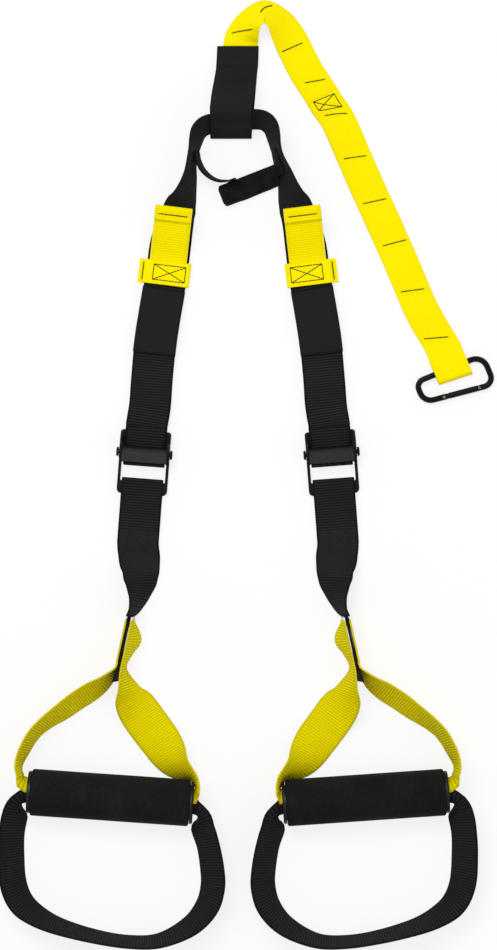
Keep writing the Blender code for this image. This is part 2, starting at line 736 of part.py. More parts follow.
def build_gate(body):
    """Build the hollow gate with its slots, and the spring and plunger inside it."""
    wire_radius = CARABINER_WIRE / 2
    tip = GATE_LENGTH - GATE_TIP_SETBACK
    length = tip + wire_radius
    frame = spine_frame() @ gate_frame()
    along = (1.0, 0.0, 0.0)
    upright = (0.0, 0.0, 1.0)
    tube = rod(wire_radius, length, (length / 2 - wire_radius, 0.0, 0.0), along, 20)
    bore_start = GATE_SLOT_DEPTH - OVERRUN
    bore_middle = bore_start + GATE_BORE_LENGTH / 2
    tube = cut(tube, rod(GATE_BORE / 2, GATE_BORE_LENGTH, (bore_middle, 0.0, 0.0), along, 14))
    for low, high in ((-wire_radius - OVERRUN, GATE_SLOT_DEPTH), (tip - GATE_SLOT_DEPTH, tip + OVERRUN)):
        size = (high - low, CARABINER_WIRE + OVERRUN, GATE_SLOT)
        tube = cut(tube, box(size, ((low + high) / 2, 0.0, 0.0)))
    for place in (0.0, GATE_LENGTH - NOSE_PIN_SETBACK):
        hole = rod(GATE_PIN_HOLE / 2, CARABINER_WIRE + OVERRUN, (place, 0.0, 0.0), upright, 12)
        tube = cut(tube, hole)
    metal = make_material("gate black", ANODISED_BLACK_COLOUR, 0.2, 0.9)
    finish(turned(frame, tube), "carabiner_gate", metal, body)
    nose = rod(GATE_PIN / 2, CARABINER_WIRE - GATE_PIN_INSET,
               (GATE_LENGTH - NOSE_PIN_SETBACK, 0.0, 0.0), upright, 12)
    steel = make_material("gate pin steel", SPRING_STEEL_COLOUR, 0.3, 1.0)
    finish(turned(frame, nose), "gate_nose_pin", steel, body)
    plunger_start = TANG_REACH + PLUNGER_SETBACK
    plunger_radius = GATE_BORE / 2 - PLY_GAP
    plunger = rod(plunger_radius, PLUNGER_LENGTH,
                  (plunger_start + PLUNGER_LENGTH / 2, 0.0, 0.0), along, 12)
    finish(turned(frame, plunger), "gate_plunger",
           make_material("plunger steel", SPRING_STEEL_COLOUR, 0.35, 1.0), body)
    spring_start = plunger_start + PLUNGER_LENGTH + PLY_GAP + GATE_SPRING_WIRE / 2
    spring_end = bore_start + GATE_BORE_LENGTH - PLY_GAP - GATE_SPRING_WIRE / 2
    coil_radius = GATE_BORE / 2 - PLY_GAP - GATE_SPRING_WIRE / 2
    coil = helix(coil_radius, spring_start, spring_end, GATE_SPRING_TURNS, 8)
    spring = wire("gate_spring", [frame @ point for point in coil], GATE_SPRING_WIRE, 0)
    finish(spring, "gate_spring", make_material("gate spring steel", SPRING_STEEL_COLOUR, 0.3, 1.0), body)


def build_gate_hinge(body):
    """Build the rivet that the gate turns on, held by the carabiner's body."""
    frame = spine_frame() @ gate_frame()
    pin = rod(GATE_PIN / 2, CARABINER_WIRE - GATE_PIN_INSET, (0.0, 0.0, 0.0), (0.0, 0.0, 1.0), 12)
    steel = make_material("hinge pin steel", SPRING_STEEL_COLOUR, 0.3, 1.0)
    finish(turned(frame, pin), "gate_hinge_pin", steel, body)


def band_stations(shares, lift):
    """Return a band's stations from shares of the crown's half width and rise."""
    half_width, base_y = track_point(TRACK_LENGTH)
    return [(x_share * half_width, base_y + y_share * CROWN_RISE, lift, lean, 0.0)
            for x_share, y_share, lean in shares]


def build_bands(trainer, flap_body):
    """Build the hook and loop bands that hold the crown's legs together."""
    over = 2 * BAND_THICKNESS
    loop_band = lying_strap("loop band", band_stations(BAND_ROUTE_SHARES, 0.0),
                            BAND_WIDTH, BAND_THICKNESS)
    finish(loop_band, "closure_band_loop", webbing_material("loop band", BLACK_WEB_COLOUR), trainer)
    root = lying_strap("hook band root", band_stations(FLAP_ROOT_SHARES, over),
                       BAND_WIDTH, BAND_THICKNESS)
    finish(root, "closure_band_root", webbing_material("hook band root", BLACK_WEB_COLOUR), trainer)
    flap = lying_strap("hook band flap", band_stations(FLAP_ROUTE_SHARES, over),
                       BAND_WIDTH, BAND_THICKNESS)
    finish(flap, "closure_band_flap", webbing_material("hook band", BLACK_WEB_COLOUR), flap_body)


def buckle_point(across, along):
    """Return a place in an arm's plan from one in its buckle's frame."""
    place = plan_frame(BUCKLE_OFFSET, BUCKLE_RISE, BUCKLE_TILT) @ Vector((across, along, 0.0))
    return place.x, place.y


def bow(share):
    """Return how far the track bows out at a share of the way down from the keeper."""
    return math.sin(math.pi * share) ** 2


def track_strap(name, start, keeper_height, end_height, width, thickness, side):
    """Return a strap along the track, from a distance above the pin to the buckle's mouth."""
    stations = []
    first_x, first_y = track_point(start)
    keeper_lift = keeper_height - thickness / 2
    end_lift = end_height - thickness / 2
    if start > KEEPER_DISTANCE + KEEPER_WIDTH:
        second_x, second_y = track_point(start - CROWN_TUCK)
        stations += [(first_x, first_y, keeper_lift, 0.0, 0.0),
                     (second_x, second_y, keeper_lift, 0.0, 0.0)]
        start = KEEPER_DISTANCE + KEEPER_WIDTH / 2
    span = start - FRAME_TOP
    for share in (0.0, 0.15, 0.3, 0.5, 0.7, 0.85):
        x, y = track_point(start - share * span, bow(share))
        lift = keeper_lift + (end_lift - keeper_lift) * max(0.0, (share - 0.3) / 0.7)
        stations.append((x, y, lift, 0.0, 0.0))
    for along in (FRAME_TOP + CROWN_TUCK, FRAME_TOP + OVERRUN):
        x, y = buckle_point(0.0, along)
        stations.append((x, y, end_lift, 0.0, 0.0))
    return lying_strap(name, stations, width, thickness, side, 1, 2 * STEP_LENGTH)


def build_main_run(label, side, trainer):
    """Build one arm's strap from the crown to its buckle, and the tail above it."""
    run, tail, _, _ = run_heights()
    run_end, _, tail_end, _ = buckle_heights()
    strap = track_strap("run", TRACK_LENGTH - PLY_GAP, run, run_end, WEBBING_WIDTH,
                        WEBBING_THICKNESS, side)
    finish(strap, f"main_run_{label}", webbing_material(f"run webbing {label}", BLACK_WEB_COLOUR), trainer)
    start = KEEPER_DISTANCE + KEEPER_WIDTH / 2
    strap = track_strap("tail", start, tail, tail_end, WEBBING_WIDTH, WEBBING_THICKNESS, side)
    finish(strap, f"tail_{label}", webbing_material(f"tail webbing {label}", BLACK_WEB_COLOUR), trainer)


def build_adjuster(label, side, body):
    """Build the sewn tab, keeper and cover ply that slide along the main run."""
    _, tail, tab, top = run_heights()
    frame = plan_frame(*track_point(KEEPER_DISTANCE), TRACK_TILT)
    upper = TAB_LENGTH - KEEPER_WIDTH / 2
    lift = tab + TAB_RISE
    fold = YELLOW_THICKNESS / 2 + PLY_GAP / 2
    points = [(upper - HEM_LENGTH, lift + 2 * fold), (upper - fold, lift + 2 * fold)]
    points += arc((upper - fold, lift + fold), fold, 60.0, -60.0, 4)
    points += [(upper - fold, lift), (upper - HEM_LENGTH, lift - 0.1 * TAB_RISE)]
    points += [(TAB_LENGTH * along_share, tab + TAB_RISE * rise_share)
               for along_share, rise_share in TAB_ROUTE_SHARES]
    points.append((-KEEPER_WIDTH / 2, tab))
    strap = folded_strap("tab", points, frame, YELLOW_WIDTH, YELLOW_THICKNESS, side)
    finish(strap, f"adjuster_tab_{label}", webbing_material(f"tab webbing {label}", YELLOW_WEB_COLOUR), body)
    build_keeper(label, side, body, frame, top)
    stations = []
    cover = tail + (WEBBING_THICKNESS + PATCH_THICKNESS) / 2 + PLY_GAP
    run_end, _, tail_end, _ = buckle_heights()
    patch_start = KEEPER_DISTANCE - KEEPER_WIDTH / 2 - PATCH_THICKNESS
    span = KEEPER_DISTANCE + KEEPER_WIDTH / 2 - FRAME_TOP
    for step in range(5):
        distance = patch_start - PATCH_LENGTH * step / 4
        share = (KEEPER_DISTANCE + KEEPER_WIDTH / 2 - distance) / span
        x, y = track_point(distance, bow(share))
        drop = (tail_end - tail) * max(0.0, (share - 0.3) / 0.7)
        stations.append((x, y, cover + max(drop, 0.0) + PLY_GAP - PATCH_THICKNESS / 2, 0.0, 0.0))
    ply = lying_strap("cover", stations, PATCH_WIDTH, PATCH_THICKNESS, side, 1, 2 * STEP_LENGTH)
    finish(ply, f"tail_cover_{label}", make_material(f"cover ply {label}", BLACK_WEB_COLOUR, 0.6), body)


def build_keeper(label, side, body, frame, top):
    """Build the keeper loop, which ends in the pull tag on its outer side."""
    inner = WEBBING_WIDTH / 2 + KEEPER_THICKNESS / 2 + 3 * PLY_GAP
    lower = KEEPER_THICKNESS / 2
    middle = (top + lower) / 2
    ply = KEEPER_THICKNESS / 2 + PLY_GAP / 2
    tag = inner + TAG_REACH
    ring = [(tag, middle + ply), (inner + 3 * ply, middle + ply), (inner, 0.8 * top + 0.2 * lower),
            (inner - ply, 0.97 * top), (inner - 3 * ply, top)]
    turn = (top - lower) / 2
    ring += arc((-WEBBING_WIDTH / 2, middle), turn, 90.0, 270.0, 6)
    ring += [(inner - 3 * ply, lower), (inner, 1.2 * lower),
             (inner + ply, 0.2 * top + 0.8 * lower), (inner + 3 * ply, middle - ply),
             (tag, middle - ply)]
    places, widths, normals = [], [], []
    way = frame.to_3x3() @ Vector((0.0, 1.0, 0.0))
    for across, height in ring:
        place = frame @ Vector((across, 0.0, height))
        places.append(Vector((place.x * side, place.y, place.z)))
        widths.append(Vector((way.x * side, way.y, 0.0)))
        normals.append(Vector((0.0, 0.0, 1.0)))
    loop = ribbon("keeper", places, widths, normals, [0.0] * len(ring), KEEPER_WIDTH, KEEPER_THICKNESS)
    yellow = webbing_material(f"keeper webbing {label}", YELLOW_WEB_COLOUR)
    finish(loop, f"adjuster_keeper_{label}", yellow, body)


def frame_half_width():
    """Return half the width of the buckle's frame, which the webbing's width sets."""
    return WEBBING_WIDTH / 2 + FRAME_SIDE_ROOM + FRAME_RAIL


def buckle_matrix(side):
    """Return the frame of one arm's buckle, with its origin under the cam pin."""
    return plan_frame(side * BUCKLE_OFFSET, BUCKLE_RISE, side * BUCKLE_TILT)


def upright_plate(outline, thickness, across):
    """Return a plate that stands across the X axis, from a distance and height outline."""
    plate = outline_plate("upright", [outline], thickness)
    stand = Matrix(((0, 0, 1, across), (1, 0, 0, 0), (0, 1, 0, 0), (0, 0, 0, 1)))
    return turned(stand, plate)


def build_buckle_frame(label, side, body):
    """Build the stamped frame: a plate with its window, and two ears for the cam pin."""
    _, plate_height, _, axis = buckle_heights()
    half = frame_half_width()
    corner = FRAME_RAIL * 1.6
    outer = rounded([(-half, -FRAME_BOTTOM), (half, -FRAME_BOTTOM), (half, FRAME_TOP), (-half, FRAME_TOP)],
                    (corner, corner, FRAME_RAIL, FRAME_RAIL))
    inside = half - FRAME_RAIL
    window_low = -FRAME_BOTTOM + LOWER_BAR_WIDTH
    window = rounded([(-inside, window_low), (inside, window_low),
                      (inside, -CROSS_BAR_EDGE), (-inside, -CROSS_BAR_EDGE)],
                     (FRAME_RAIL / 3,) * 4, 2)
    thing = outline_plate("frame", [outer, window], FRAME_PLATE)
    turned(Matrix.Translation((0.0, 0.0, plate_height)), thing)
    low = FRAME_TOP - EAR_LENGTH
    top = plate_height + EAR_HEIGHT
    ear = rounded([(low, plate_height), (FRAME_TOP - FRAME_RAIL / 2, plate_height),
                   (FRAME_TOP - FRAME_RAIL / 2, plate_height + 0.35 * EAR_HEIGHT),
                   (low + 0.62 * EAR_LENGTH, top), (low + 0.04 * EAR_LENGTH, top)],
                  (FRAME_PLATE / 4, FRAME_PLATE / 4, EAR_HEIGHT / 6, EAR_HEIGHT / 3, EAR_HEIGHT / 4))
    for across in (-1.0, 1.0):
        place = across * (half - EAR_INSET - FRAME_PLATE / 2)
        thing = cut(thing, upright_plate(ear, FRAME_PLATE, place), "UNION")
    hole = rod(CAM_PIN / 2 + PLY_GAP, 2 * half + OVERRUN, (0.0, 0.0, axis), (1.0, 0.0, 0.0), 16)
    thing = cut(thing, hole)
    turned(buckle_matrix(side), thing)
    finish(thing, f"buckle_frame_{label}", coated_metal(f"buckle steel {label}"), body)


def cam_outline():
    """Return the cam's profile about its pin: teeth below, thumb lever above."""
    outline = []
    first, last = -108.0, -34.0
    pitch = (last - first) / CAM_TEETH
    for tooth in range(CAM_TEETH):
        start = first + tooth * pitch
        for offset, depth in ((0.1, CAM_TOOTH), (0.8, 0.0)):
            turn = start + offset * pitch
            growth = max(0.0, turn + 90.0) / 90.0 * CAM_TOOTH
            angle = math.radians(turn)
            radius = CAM_RADIUS + growth - depth
            outline.append((radius * math.cos(angle), radius * math.sin(angle)))
    outline += arc((0.0, 0.0), CAM_RADIUS - CAM_TOOTH / 2, -30.0, 35.0, 5)
    tip = -LEVER_LENGTH + CAM_RADIUS * 0.65
    crown = CAM_RADIUS * 0.8
    rise = crown + LEVER_THICKNESS * 0.9
    outline += [(CAM_RADIUS * 0.7, crown - CAM_TOOTH), (CAM_RADIUS * 0.45, crown),
                (tip + LEVER_THICKNESS / 3, rise), (tip, rise - LEVER_THICKNESS / 3),
                (tip, rise - LEVER_THICKNESS), (-CAM_RADIUS * 0.75, crown - LEVER_THICKNESS * 0.75)]
    outline += arc((0.0, 0.0), CAM_RADIUS - 1.5 * CAM_TOOTH, 150.0, 246.0, 6)
    return outline


def build_cam(label, side, body):
    """Build the toothed cam with its thumb lever, and the spring in its pocket."""
    _, _, _, axis = buckle_heights()
    ear_face = frame_half_width() - EAR_INSET - FRAME_PLATE
    half = ear_face - FIT_GAP
    thing = upright_plate(cam_outline(), 2 * half, 0.0)
    bore = rod(CAM_PIN / 2 + PLY_GAP, 2 * half + OVERRUN, (0.0, 0.0, 0.0), (1.0, 0.0, 0.0), 16)
    thing = cut(thing, bore)
    wire_half = CAM_SPRING_WIRE / 2
    coil_length = CAM_SPRING_TURNS * CAM_SPRING_WIRE * 1.5
    pocket_length = coil_length + 4 * wire_half
    coil_radius = CAM_PIN / 2 + PLY_GAP + wire_half + PLY_GAP
    pocket = rod(coil_radius + wire_half + PLY_GAP, pocket_length + OVERRUN,
                 (side * (half - pocket_length / 2 + OVERRUN / 2), 0.0, 0.0), (1.0, 0.0, 0.0), 16)
    thing = cut(thing, pocket)
    tip = -LEVER_LENGTH + CAM_RADIUS * 0.65
    crown = CAM_RADIUS * 0.8
    slope = math.atan2(LEVER_THICKNESS * 0.9, -tip + CAM_RADIUS * 0.45)
    dish = box((2 * half - 2 * LEVER_RIM, LEVER_LENGTH * 0.8, LEVER_THICKNESS), (0.0, 0.0, 0.0))
    dish_place = Vector((0.0, tip * 0.36, crown + LEVER_THICKNESS * 0.73))
    thing = cut(thing, turned(Matrix.Translation(dish_place) @ Matrix.Rotation(-slope, 4, "X"), dish))
    place = buckle_matrix(side) @ Matrix.Translation((0.0, 0.0, axis))
    turned(place, thing)
    finish(thing, f"buckle_cam_{label}", coated_metal(f"cam steel {label}"), body)
    start = half - pocket_length + 2 * wire_half
    coil = helix(coil_radius, start, start + coil_length, CAM_SPRING_TURNS, 8)
    points = [place @ Vector((side * point.x, point.y, point.z)) for point in coil]
    spring = wire("cam_spring", points, CAM_SPRING_WIRE, 1)
    steel = make_material(f"cam spring steel {label}", SPRING_STEEL_COLOUR, 0.3, 1.0)
    finish(spring, f"cam_spring_{label}", steel, body)


def build_cam_pin(label, side, body):
    """Build the headed pin that carries the cam between the ears."""
    _, _, _, axis = buckle_heights()
    reach = frame_half_width() + PLY_GAP
    shank = CAM_PIN / 2
    head = PIN_HEAD / 2
    end = reach + PIN_HEAD_THICKNESS
    dome = PIN_HEAD_THICKNESS * 0.35
    profile = [(0.0, end), (head - dome, end), (head, end - dome), (head, reach), (shank, reach),
               (shank, -reach), (head, -reach), (head, dome - end), (head - dome, -end), (0.0, -end)]
    thing = turned_profile("pin", profile, 16)
    turned(buckle_matrix(side) @ Matrix.Translation((0.0, 0.0, axis)), thing)
    finish(thing, f"cam_pin_{label}", coated_metal(f"pin steel {label}"), body)


def build_strap_turn(label, side, body):
    """Build the main strap's turn round the frame's cross bar."""
    run, plate, tail, _ = buckle_heights()
    mouth = FRAME_TOP + OVERRUN - PLY_GAP
    radius = (tail - run) / 2
    points = [(mouth, run), (mouth / 2, run)]
    points += arc((-CROSS_BAR_EDGE, plate), radius, -90.0, -270.0, 8)
    points += [(mouth / 2, tail), (mouth, tail)]
    frame = plan_frame(BUCKLE_OFFSET, BUCKLE_RISE, BUCKLE_TILT)
    strap = folded_strap("turn", points, frame, WEBBING_WIDTH, WEBBING_THICKNESS, side)
    finish(strap, f"strap_turn_{label}", webbing_material(f"turn webbing {label}", BLACK_WEB_COLOUR), body)


def build_lower_wrap(label, side, body):
    """Build the lower strap's sewn loop round the frame's lower bar."""
    run, plate, tail, _ = buckle_heights()
    radius = (tail - run) / 2
    lower = WEBBING_THICKNESS / 2
    upper = lower + WEBBING_THICKNESS + PLY_GAP
    edge = -FRAME_BOTTOM + LOWER_BAR_WIDTH
    clear = -FRAME_BOTTOM - WEBBING_THICKNESS
    points = [(-WRAP_LENGTH, upper), (2 * clear, upper), (clear * 1.4, upper + 0.25 * radius), (clear, tail)]
    points += arc((edge, plate), radius, 90.0, -90.0, 8)
    points += [(clear, run), (clear * 1.4, (run + lower) / 2), (2 * clear, lower), (-WRAP_LENGTH, lower)]
    frame = plan_frame(BUCKLE_OFFSET, BUCKLE_RISE, BUCKLE_TILT)
    strap = folded_strap("wrap", points, frame, WEBBING_WIDTH, WEBBING_THICKNESS, side)
    finish(strap, f"lower_wrap_{label}", webbing_material(f"wrap webbing {label}", BLACK_WEB_COLOUR), body)


def joint_point(distance, offset):
    """Return a place in the handle's frame, beside the sewn joint of its straps."""
    tilt = math.radians(JOINT_TILT)
    x = JOINT_END_SHARES[0] * HANDLE_REACH - distance * math.sin(tilt) + offset * math.cos(tilt)
    y = JOINT_END_SHARES[1] * HANDLE_REACH + distance * math.cos(tilt) + offset * math.sin(tilt)
    return x, y


def handle_frame():
    """Return the handle's frame in an arm's plan: X out along the grip's axis.

    The sewn joint's top hangs below the end of the lower strap's loop.
    """
    x, y = buckle_point(0.0, -WRAP_LENGTH)
    turn = Matrix.Rotation(math.radians(GRIP_TILT), 4, "Z")
    top = turn @ Vector((*joint_point(joint_length(), 0.0), 0.0))
    return plan_frame(x + LOWER_DRIFT_SHARE * LOWER_SPAN - top.x, y - LOWER_SPAN - top.y, GRIP_TILT)


def joint_length():
    """Return the length over which the lower strap and the handle strap are sewn together."""
    return JOINT_LENGTH_SHARE * HANDLE_REACH


def handle_point(across, along):
    """Return a place in an arm's plan from one in its handle's frame."""
    place = handle_frame() @ Vector((across, along, 0.0))
    return place.x, place.y


def joint_place(share, offset):
    """Return a place in an arm's plan, beside a share of the sewn joint."""
    return handle_point(*joint_point(share * joint_length(), offset))


def build_lower_strap(label, side, body):
    """Build the lower strap, which twists on edge between the handle strap's ends."""
    stations = []
    for along, lean in ((WRAP_LENGTH + PLY_GAP, 0.0), (WRAP_LENGTH + CROWN_TUCK, 2.0)):
        stations.append((*buckle_point(0.0, -along), 0.0, lean, 0.0))
    start_x, start_y = buckle_point(0.0, -WRAP_LENGTH)
    for down_share, aside_share, lean in LOWER_ROUTE_SHARES:
        aside = aside_share + down_share * LOWER_DRIFT_SHARE
        stations.append((start_x + aside * LOWER_SPAN, start_y - down_share * LOWER_SPAN, 0.0, lean, 0.0))
    for share in (1.0, 0.8, 0.5, 0.2, 0.0):
        stations.append((*joint_place(share, 0.0), 0.0, 90.0, 0.0))
    strap = lying_strap("lower", stations, WEBBING_WIDTH, WEBBING_THICKNESS, side)
    finish(strap, f"lower_strap_{label}", webbing_material(f"lower webbing {label}", BLACK_WEB_COLOUR), body)


def bore_stations(direction, radius, curl, reach, flare, bend):
    """Return the stations of a strap that leaves the grip's bore at one end and turns.

    The direction is the sign of X at that end, and the bend the sign of Y it turns to.
    """
    rise = FOAM_DIAMETER / 2 - WEBBING_WIDTH / 2
    places = [(0.0, radius, 1.0), (0.55 * reach, radius, 1.0), (reach, radius, 1.0)]
    for out_share, bend_share, curl_share in BORE_ROUTE_SHARES:
        places.append((reach + out_share * flare, radius + bend_share * flare, curl_share))
    return [(*handle_point(direction * x, bend * y), rise, 90.0, curl * share)
            for x, y, share in places]


def share_stations(shares, x_scale, y_scale):
    """Return a strap's stations in the handle's frame from its table of shares."""
    rise = FOAM_DIAMETER / 2 - WEBBING_WIDTH / 2
    stations = []
    for x_share, y_share, lean, lift_share in shares:
        stations.append((*handle_point(x_share * x_scale, y_share * y_scale),
                         lift_share * rise, lean, 0.0))
    return stations


def grip_face():
    """Return the distance from the grip's middle to the outer face of its end cap."""
    return FOAM_LENGTH / 2 + PLY_GAP + CAP_FLANGE


def build_handle_strap(label, side, body):
    """Build the yellow strap: down one leg, through the grip and up the other leg."""
    reach = grip_face() + PLY_GAP
    curl = math.degrees(WEBBING_WIDTH / YELLOW_CURL_RADIUS)
    ply = WEBBING_THICKNESS + 2 * PLY_GAP
    outer = [(*joint_place(share, ply), 0.0, 90.0, 0.0) for share in (1.0, 0.8, 0.6, 0.45, 0.32, 0.22)]
    outer += share_stations(OUTER_LEG_SHARES, HANDLE_REACH, HANDLE_REACH)
    into = bore_stations(1.0, YELLOW_CURL_RADIUS, curl, reach, BORE_FLARE, 1.0)
    out = bore_stations(-1.0, YELLOW_CURL_RADIUS, curl, reach, BORE_FLARE, 1.0)
    inner = share_stations(INNER_LEG_SHARES, HANDLE_REACH, HANDLE_REACH)
    for share, lean in ((0.2, -84.0), (0.45, -80.0), (0.65, -72.0), (0.85, -78.0), (1.0, -84.0)):
        lean_reach = WEBBING_WIDTH / 2 * math.cos(math.radians(lean))
        inner.append((*joint_place(share, -ply - lean_reach), 0.0, lean, 0.0))
    stations = outer + list(reversed(into)) + out[1:] + inner
    strap = lying_strap("handle", stations, WEBBING_WIDTH, WEBBING_THICKNESS, side, 4, 1.7 * STEP_LENGTH)
    yellow = webbing_material(f"handle webbing {label}", YELLOW_WEB_COLOUR)
    finish(strap, f"handle_strap_{label}", yellow, body)


def build_foot_strap(label, side, body):
    """Build the foot cradle, whose ends meet inside the grip's bore."""
    reach = grip_face() + BORE_FLARE + WEBBING_THICKNESS
    curl = math.degrees(WEBBING_WIDTH / FOOT_CURL_RADIUS)
    flare = FOOT_FLARE - BORE_FLARE
    out = bore_stations(1.0, FOOT_CURL_RADIUS, curl, reach, flare, -1.0)
    back = bore_stations(-1.0, FOOT_CURL_RADIUS, curl, reach, flare, -1.0)
    loop = share_stations(FOOT_ROUTE_SHARES, FOOT_HALF_WIDTH, FOOT_REACH)
    start, end = out[0], back[0]
    way = Vector(handle_point(PLY_GAP, 0.0)) - Vector(handle_point(0.0, 0.0))
    out[0] = (start[0] + way.x, start[1] + way.y, *start[2:])
    back[0] = (end[0] - way.x, end[1] - way.y, *end[2:])
    stations = out + loop + list(reversed(back))
    strap = lying_strap("foot", stations, WEBBING_WIDTH, WEBBING_THICKNESS, side, 4, 1.7 * STEP_LENGTH)
    finish(strap, f"foot_strap_{label}", webbing_material(f"foot webbing {label}", BLACK_WEB_COLOUR), body)


def grip_matrix(side):
    """Return the frame of one grip, on its own axis."""
    x, y = handle_point(0.0, 0.0)
    return plan_frame(side * x, y, side * GRIP_TILT) @ Matrix.Translation((0.0, 0.0, FOAM_DIAMETER / 2))


def build_grip(label, side, body):
    """Build the rigid tube, the foam over it and the cap on each end."""
    frame = grip_matrix(side)
    bore = TUBE_BORE / 2
    tube = bore + TUBE_WALL
    collar = tube + PLY_GAP
    collar_outer = collar + CAP_COLLAR
    half = FOAM_LENGTH / 2
    thing = turned_profile("tube", [(tube, half), (tube, -half), (bore, -half), (bore, half)], 24, True)
    finish(turned(frame, thing), f"grip_tube_{label}",
           make_material(f"tube plastic {label}", PLASTIC_BLACK_COLOUR, 0.45), body)
    foam = FOAM_DIAMETER / 2
    seat = collar_outer + PLY_GAP
    shelf = half - CAP_COLLAR_LENGTH - PLY_GAP
    inner = tube + PLY_GAP
    edge = [(foam - FOAM_EDGE + FOAM_EDGE * math.sin(turn), half - FOAM_EDGE + FOAM_EDGE * math.cos(turn))
            for turn in (0.0, math.pi / 4, math.pi / 2)]
    profile = [(seat, half)] + edge + [(radius, -along) for radius, along in reversed(edge)]
    profile += [(seat, -half), (seat, -shelf), (inner, -shelf), (inner, shelf), (seat, shelf)]
    thing = turned_profile("foam", profile, 28, True)
    finish(turned(frame, thing), f"foam_grip_{label}",
           make_material(f"grip foam {label}", FOAM_BLACK_COLOUR, 0.9), body)
    face = half + PLY_GAP
    end = face + CAP_FLANGE
    flange = CAP_DIAMETER / 2
    soft = CAP_FLANGE / 3
    profile = [(bore, end), (flange - soft, end), (flange, end - soft), (flange, face),
               (collar_outer, face), (collar_outer, half - CAP_COLLAR_LENGTH),
               (collar, half - CAP_COLLAR_LENGTH), (collar, face), (bore, face)]
    for name, flip in (("outer", 0.0), ("inner", math.pi)):
        thing = turned_profile("cap", profile, 20, True)
        spin = Matrix.Rotation(flip, 4, "Z") if side > 0 else Matrix.Rotation(math.pi - flip, 4, "Z")
        finish(turned(frame @ spin, thing), f"end_cap_{name}_{label}",
               make_material(f"cap plastic {name} {label}", PLASTIC_BLACK_COLOUR, 0.4), body)


def build_arm(label, side, trainer):
    """Build one arm: its straps, adjuster, cam buckle, handle and foot cradle."""
    axis = buckle_heights()[3]
    matrix = buckle_matrix(side)
    buckle = make_body(f"buckle_{label}", matrix.translation, trainer)
    keeper_x, keeper_y = track_point(KEEPER_DISTANCE)
    adjuster = make_body(f"adjuster_{label}", (side * keeper_x, keeper_y, 0.0), buckle)
    cam = make_body(f"cam_{label}", matrix @ Vector((0.0, 0.0, axis)), buckle)
    hinge = matrix @ Vector((0.0, -FRAME_BOTTOM - SWING_SETBACK, buckle_heights()[1]))
    handle = make_body(f"handle_{label}", hinge, buckle)
    grip = make_body(f"grip_{label}", grip_matrix(side).translation, handle)
    foot = make_body(f"foot_{label}", grip_matrix(side).translation, handle)
    build_main_run(label, side, trainer)
    build_adjuster(label, side, adjuster)
    build_buckle_frame(label, side, buckle)
    build_cam(label, side, cam)
    build_cam_pin(label, side, buckle)
    build_strap_turn(label, side, buckle)
    build_lower_wrap(label, side, buckle)
    build_lower_strap(label, side, handle)
    build_handle_strap(label, side, handle)
    build_grip(label, side, grip)
    build_foot_strap(label, side, foot)


def build_trainer():
    """Build the whole suspension trainer."""
    trainer = make_trainer()
    build_crown(trainer)
    build_end_loop(trainer)
    build_anchor_strap(trainer)
    spine = spine_frame()
    carabiner = make_body("carabiner", spine.translation, trainer)
    gate = make_body("gate", (spine @ gate_frame()).translation, carabiner)
    build_carabiner(carabiner)
    build_gate_hinge(carabiner)
    build_gate(gate)
    half_width, base_y = track_point(TRACK_LENGTH)
    x_share, y_share, _ = FLAP_ROUTE_SHARES[0]
    place = (x_share * half_width, base_y + y_share * CROWN_RISE, 2.5 * BAND_THICKNESS)
    flap = make_body("closure_flap", place, trainer)
    build_bands(trainer, flap)
    for label, side in SIDE_SIGNS:
        build_arm(label, side, trainer)


BODY_PLACES = {}
clear_scene()
PARTS = make_collection("suspension_trainer")
CUTTERS = make_collection("cutters")
build_trainer()
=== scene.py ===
"""Looks of a suspension trainer that lies flat: woven straps, cam buckles, foam grips, a carabiner.

Lengths are in metres and angles in degrees. X and Y lie in the plan and Z points up. The two
arms mirror each other, so an arm is laid out once, with X pointing away from the middle.
"""
import json
import logging
import math
from dataclasses import dataclass, field, replace
from enum import Enum
from typing import Any, Dict, List, Optional, Sequence, Tuple

import bmesh
import bpy
from mathutils import Matrix, Vector, noise

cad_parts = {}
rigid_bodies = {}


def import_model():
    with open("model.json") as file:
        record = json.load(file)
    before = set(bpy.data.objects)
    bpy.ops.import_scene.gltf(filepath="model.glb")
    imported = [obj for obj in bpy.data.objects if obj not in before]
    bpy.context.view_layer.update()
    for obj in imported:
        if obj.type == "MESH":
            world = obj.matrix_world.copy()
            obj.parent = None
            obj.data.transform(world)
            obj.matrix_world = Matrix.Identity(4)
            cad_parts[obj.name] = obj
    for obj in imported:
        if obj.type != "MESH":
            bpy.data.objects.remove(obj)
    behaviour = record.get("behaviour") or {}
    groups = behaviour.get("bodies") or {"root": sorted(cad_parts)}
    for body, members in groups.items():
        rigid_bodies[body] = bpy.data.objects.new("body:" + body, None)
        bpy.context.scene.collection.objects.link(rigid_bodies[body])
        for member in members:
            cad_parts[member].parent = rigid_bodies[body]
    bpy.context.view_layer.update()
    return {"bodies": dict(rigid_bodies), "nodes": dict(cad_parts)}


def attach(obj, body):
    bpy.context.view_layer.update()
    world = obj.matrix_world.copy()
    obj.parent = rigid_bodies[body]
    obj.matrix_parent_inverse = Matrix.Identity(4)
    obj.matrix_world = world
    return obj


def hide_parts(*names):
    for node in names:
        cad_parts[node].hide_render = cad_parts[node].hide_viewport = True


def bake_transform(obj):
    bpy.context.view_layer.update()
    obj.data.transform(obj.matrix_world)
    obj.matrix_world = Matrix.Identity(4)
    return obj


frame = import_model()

LOG = logging.getLogger("suspension_trainer")

Colour = Tuple[float, float, float]
Station = Tuple[float, ...]
Spot = Tuple[float, float]

TRAINER_MIDDLE = Vector((-0.0078, -0.0024, 0.00014))
WEB_WIDTH = 0.0375
WEB_THICKNESS = 0.0018
YELLOW_WIDTH = 0.031
YELLOW_THICKNESS = 0.0016
PLY_GAP = 0.0003


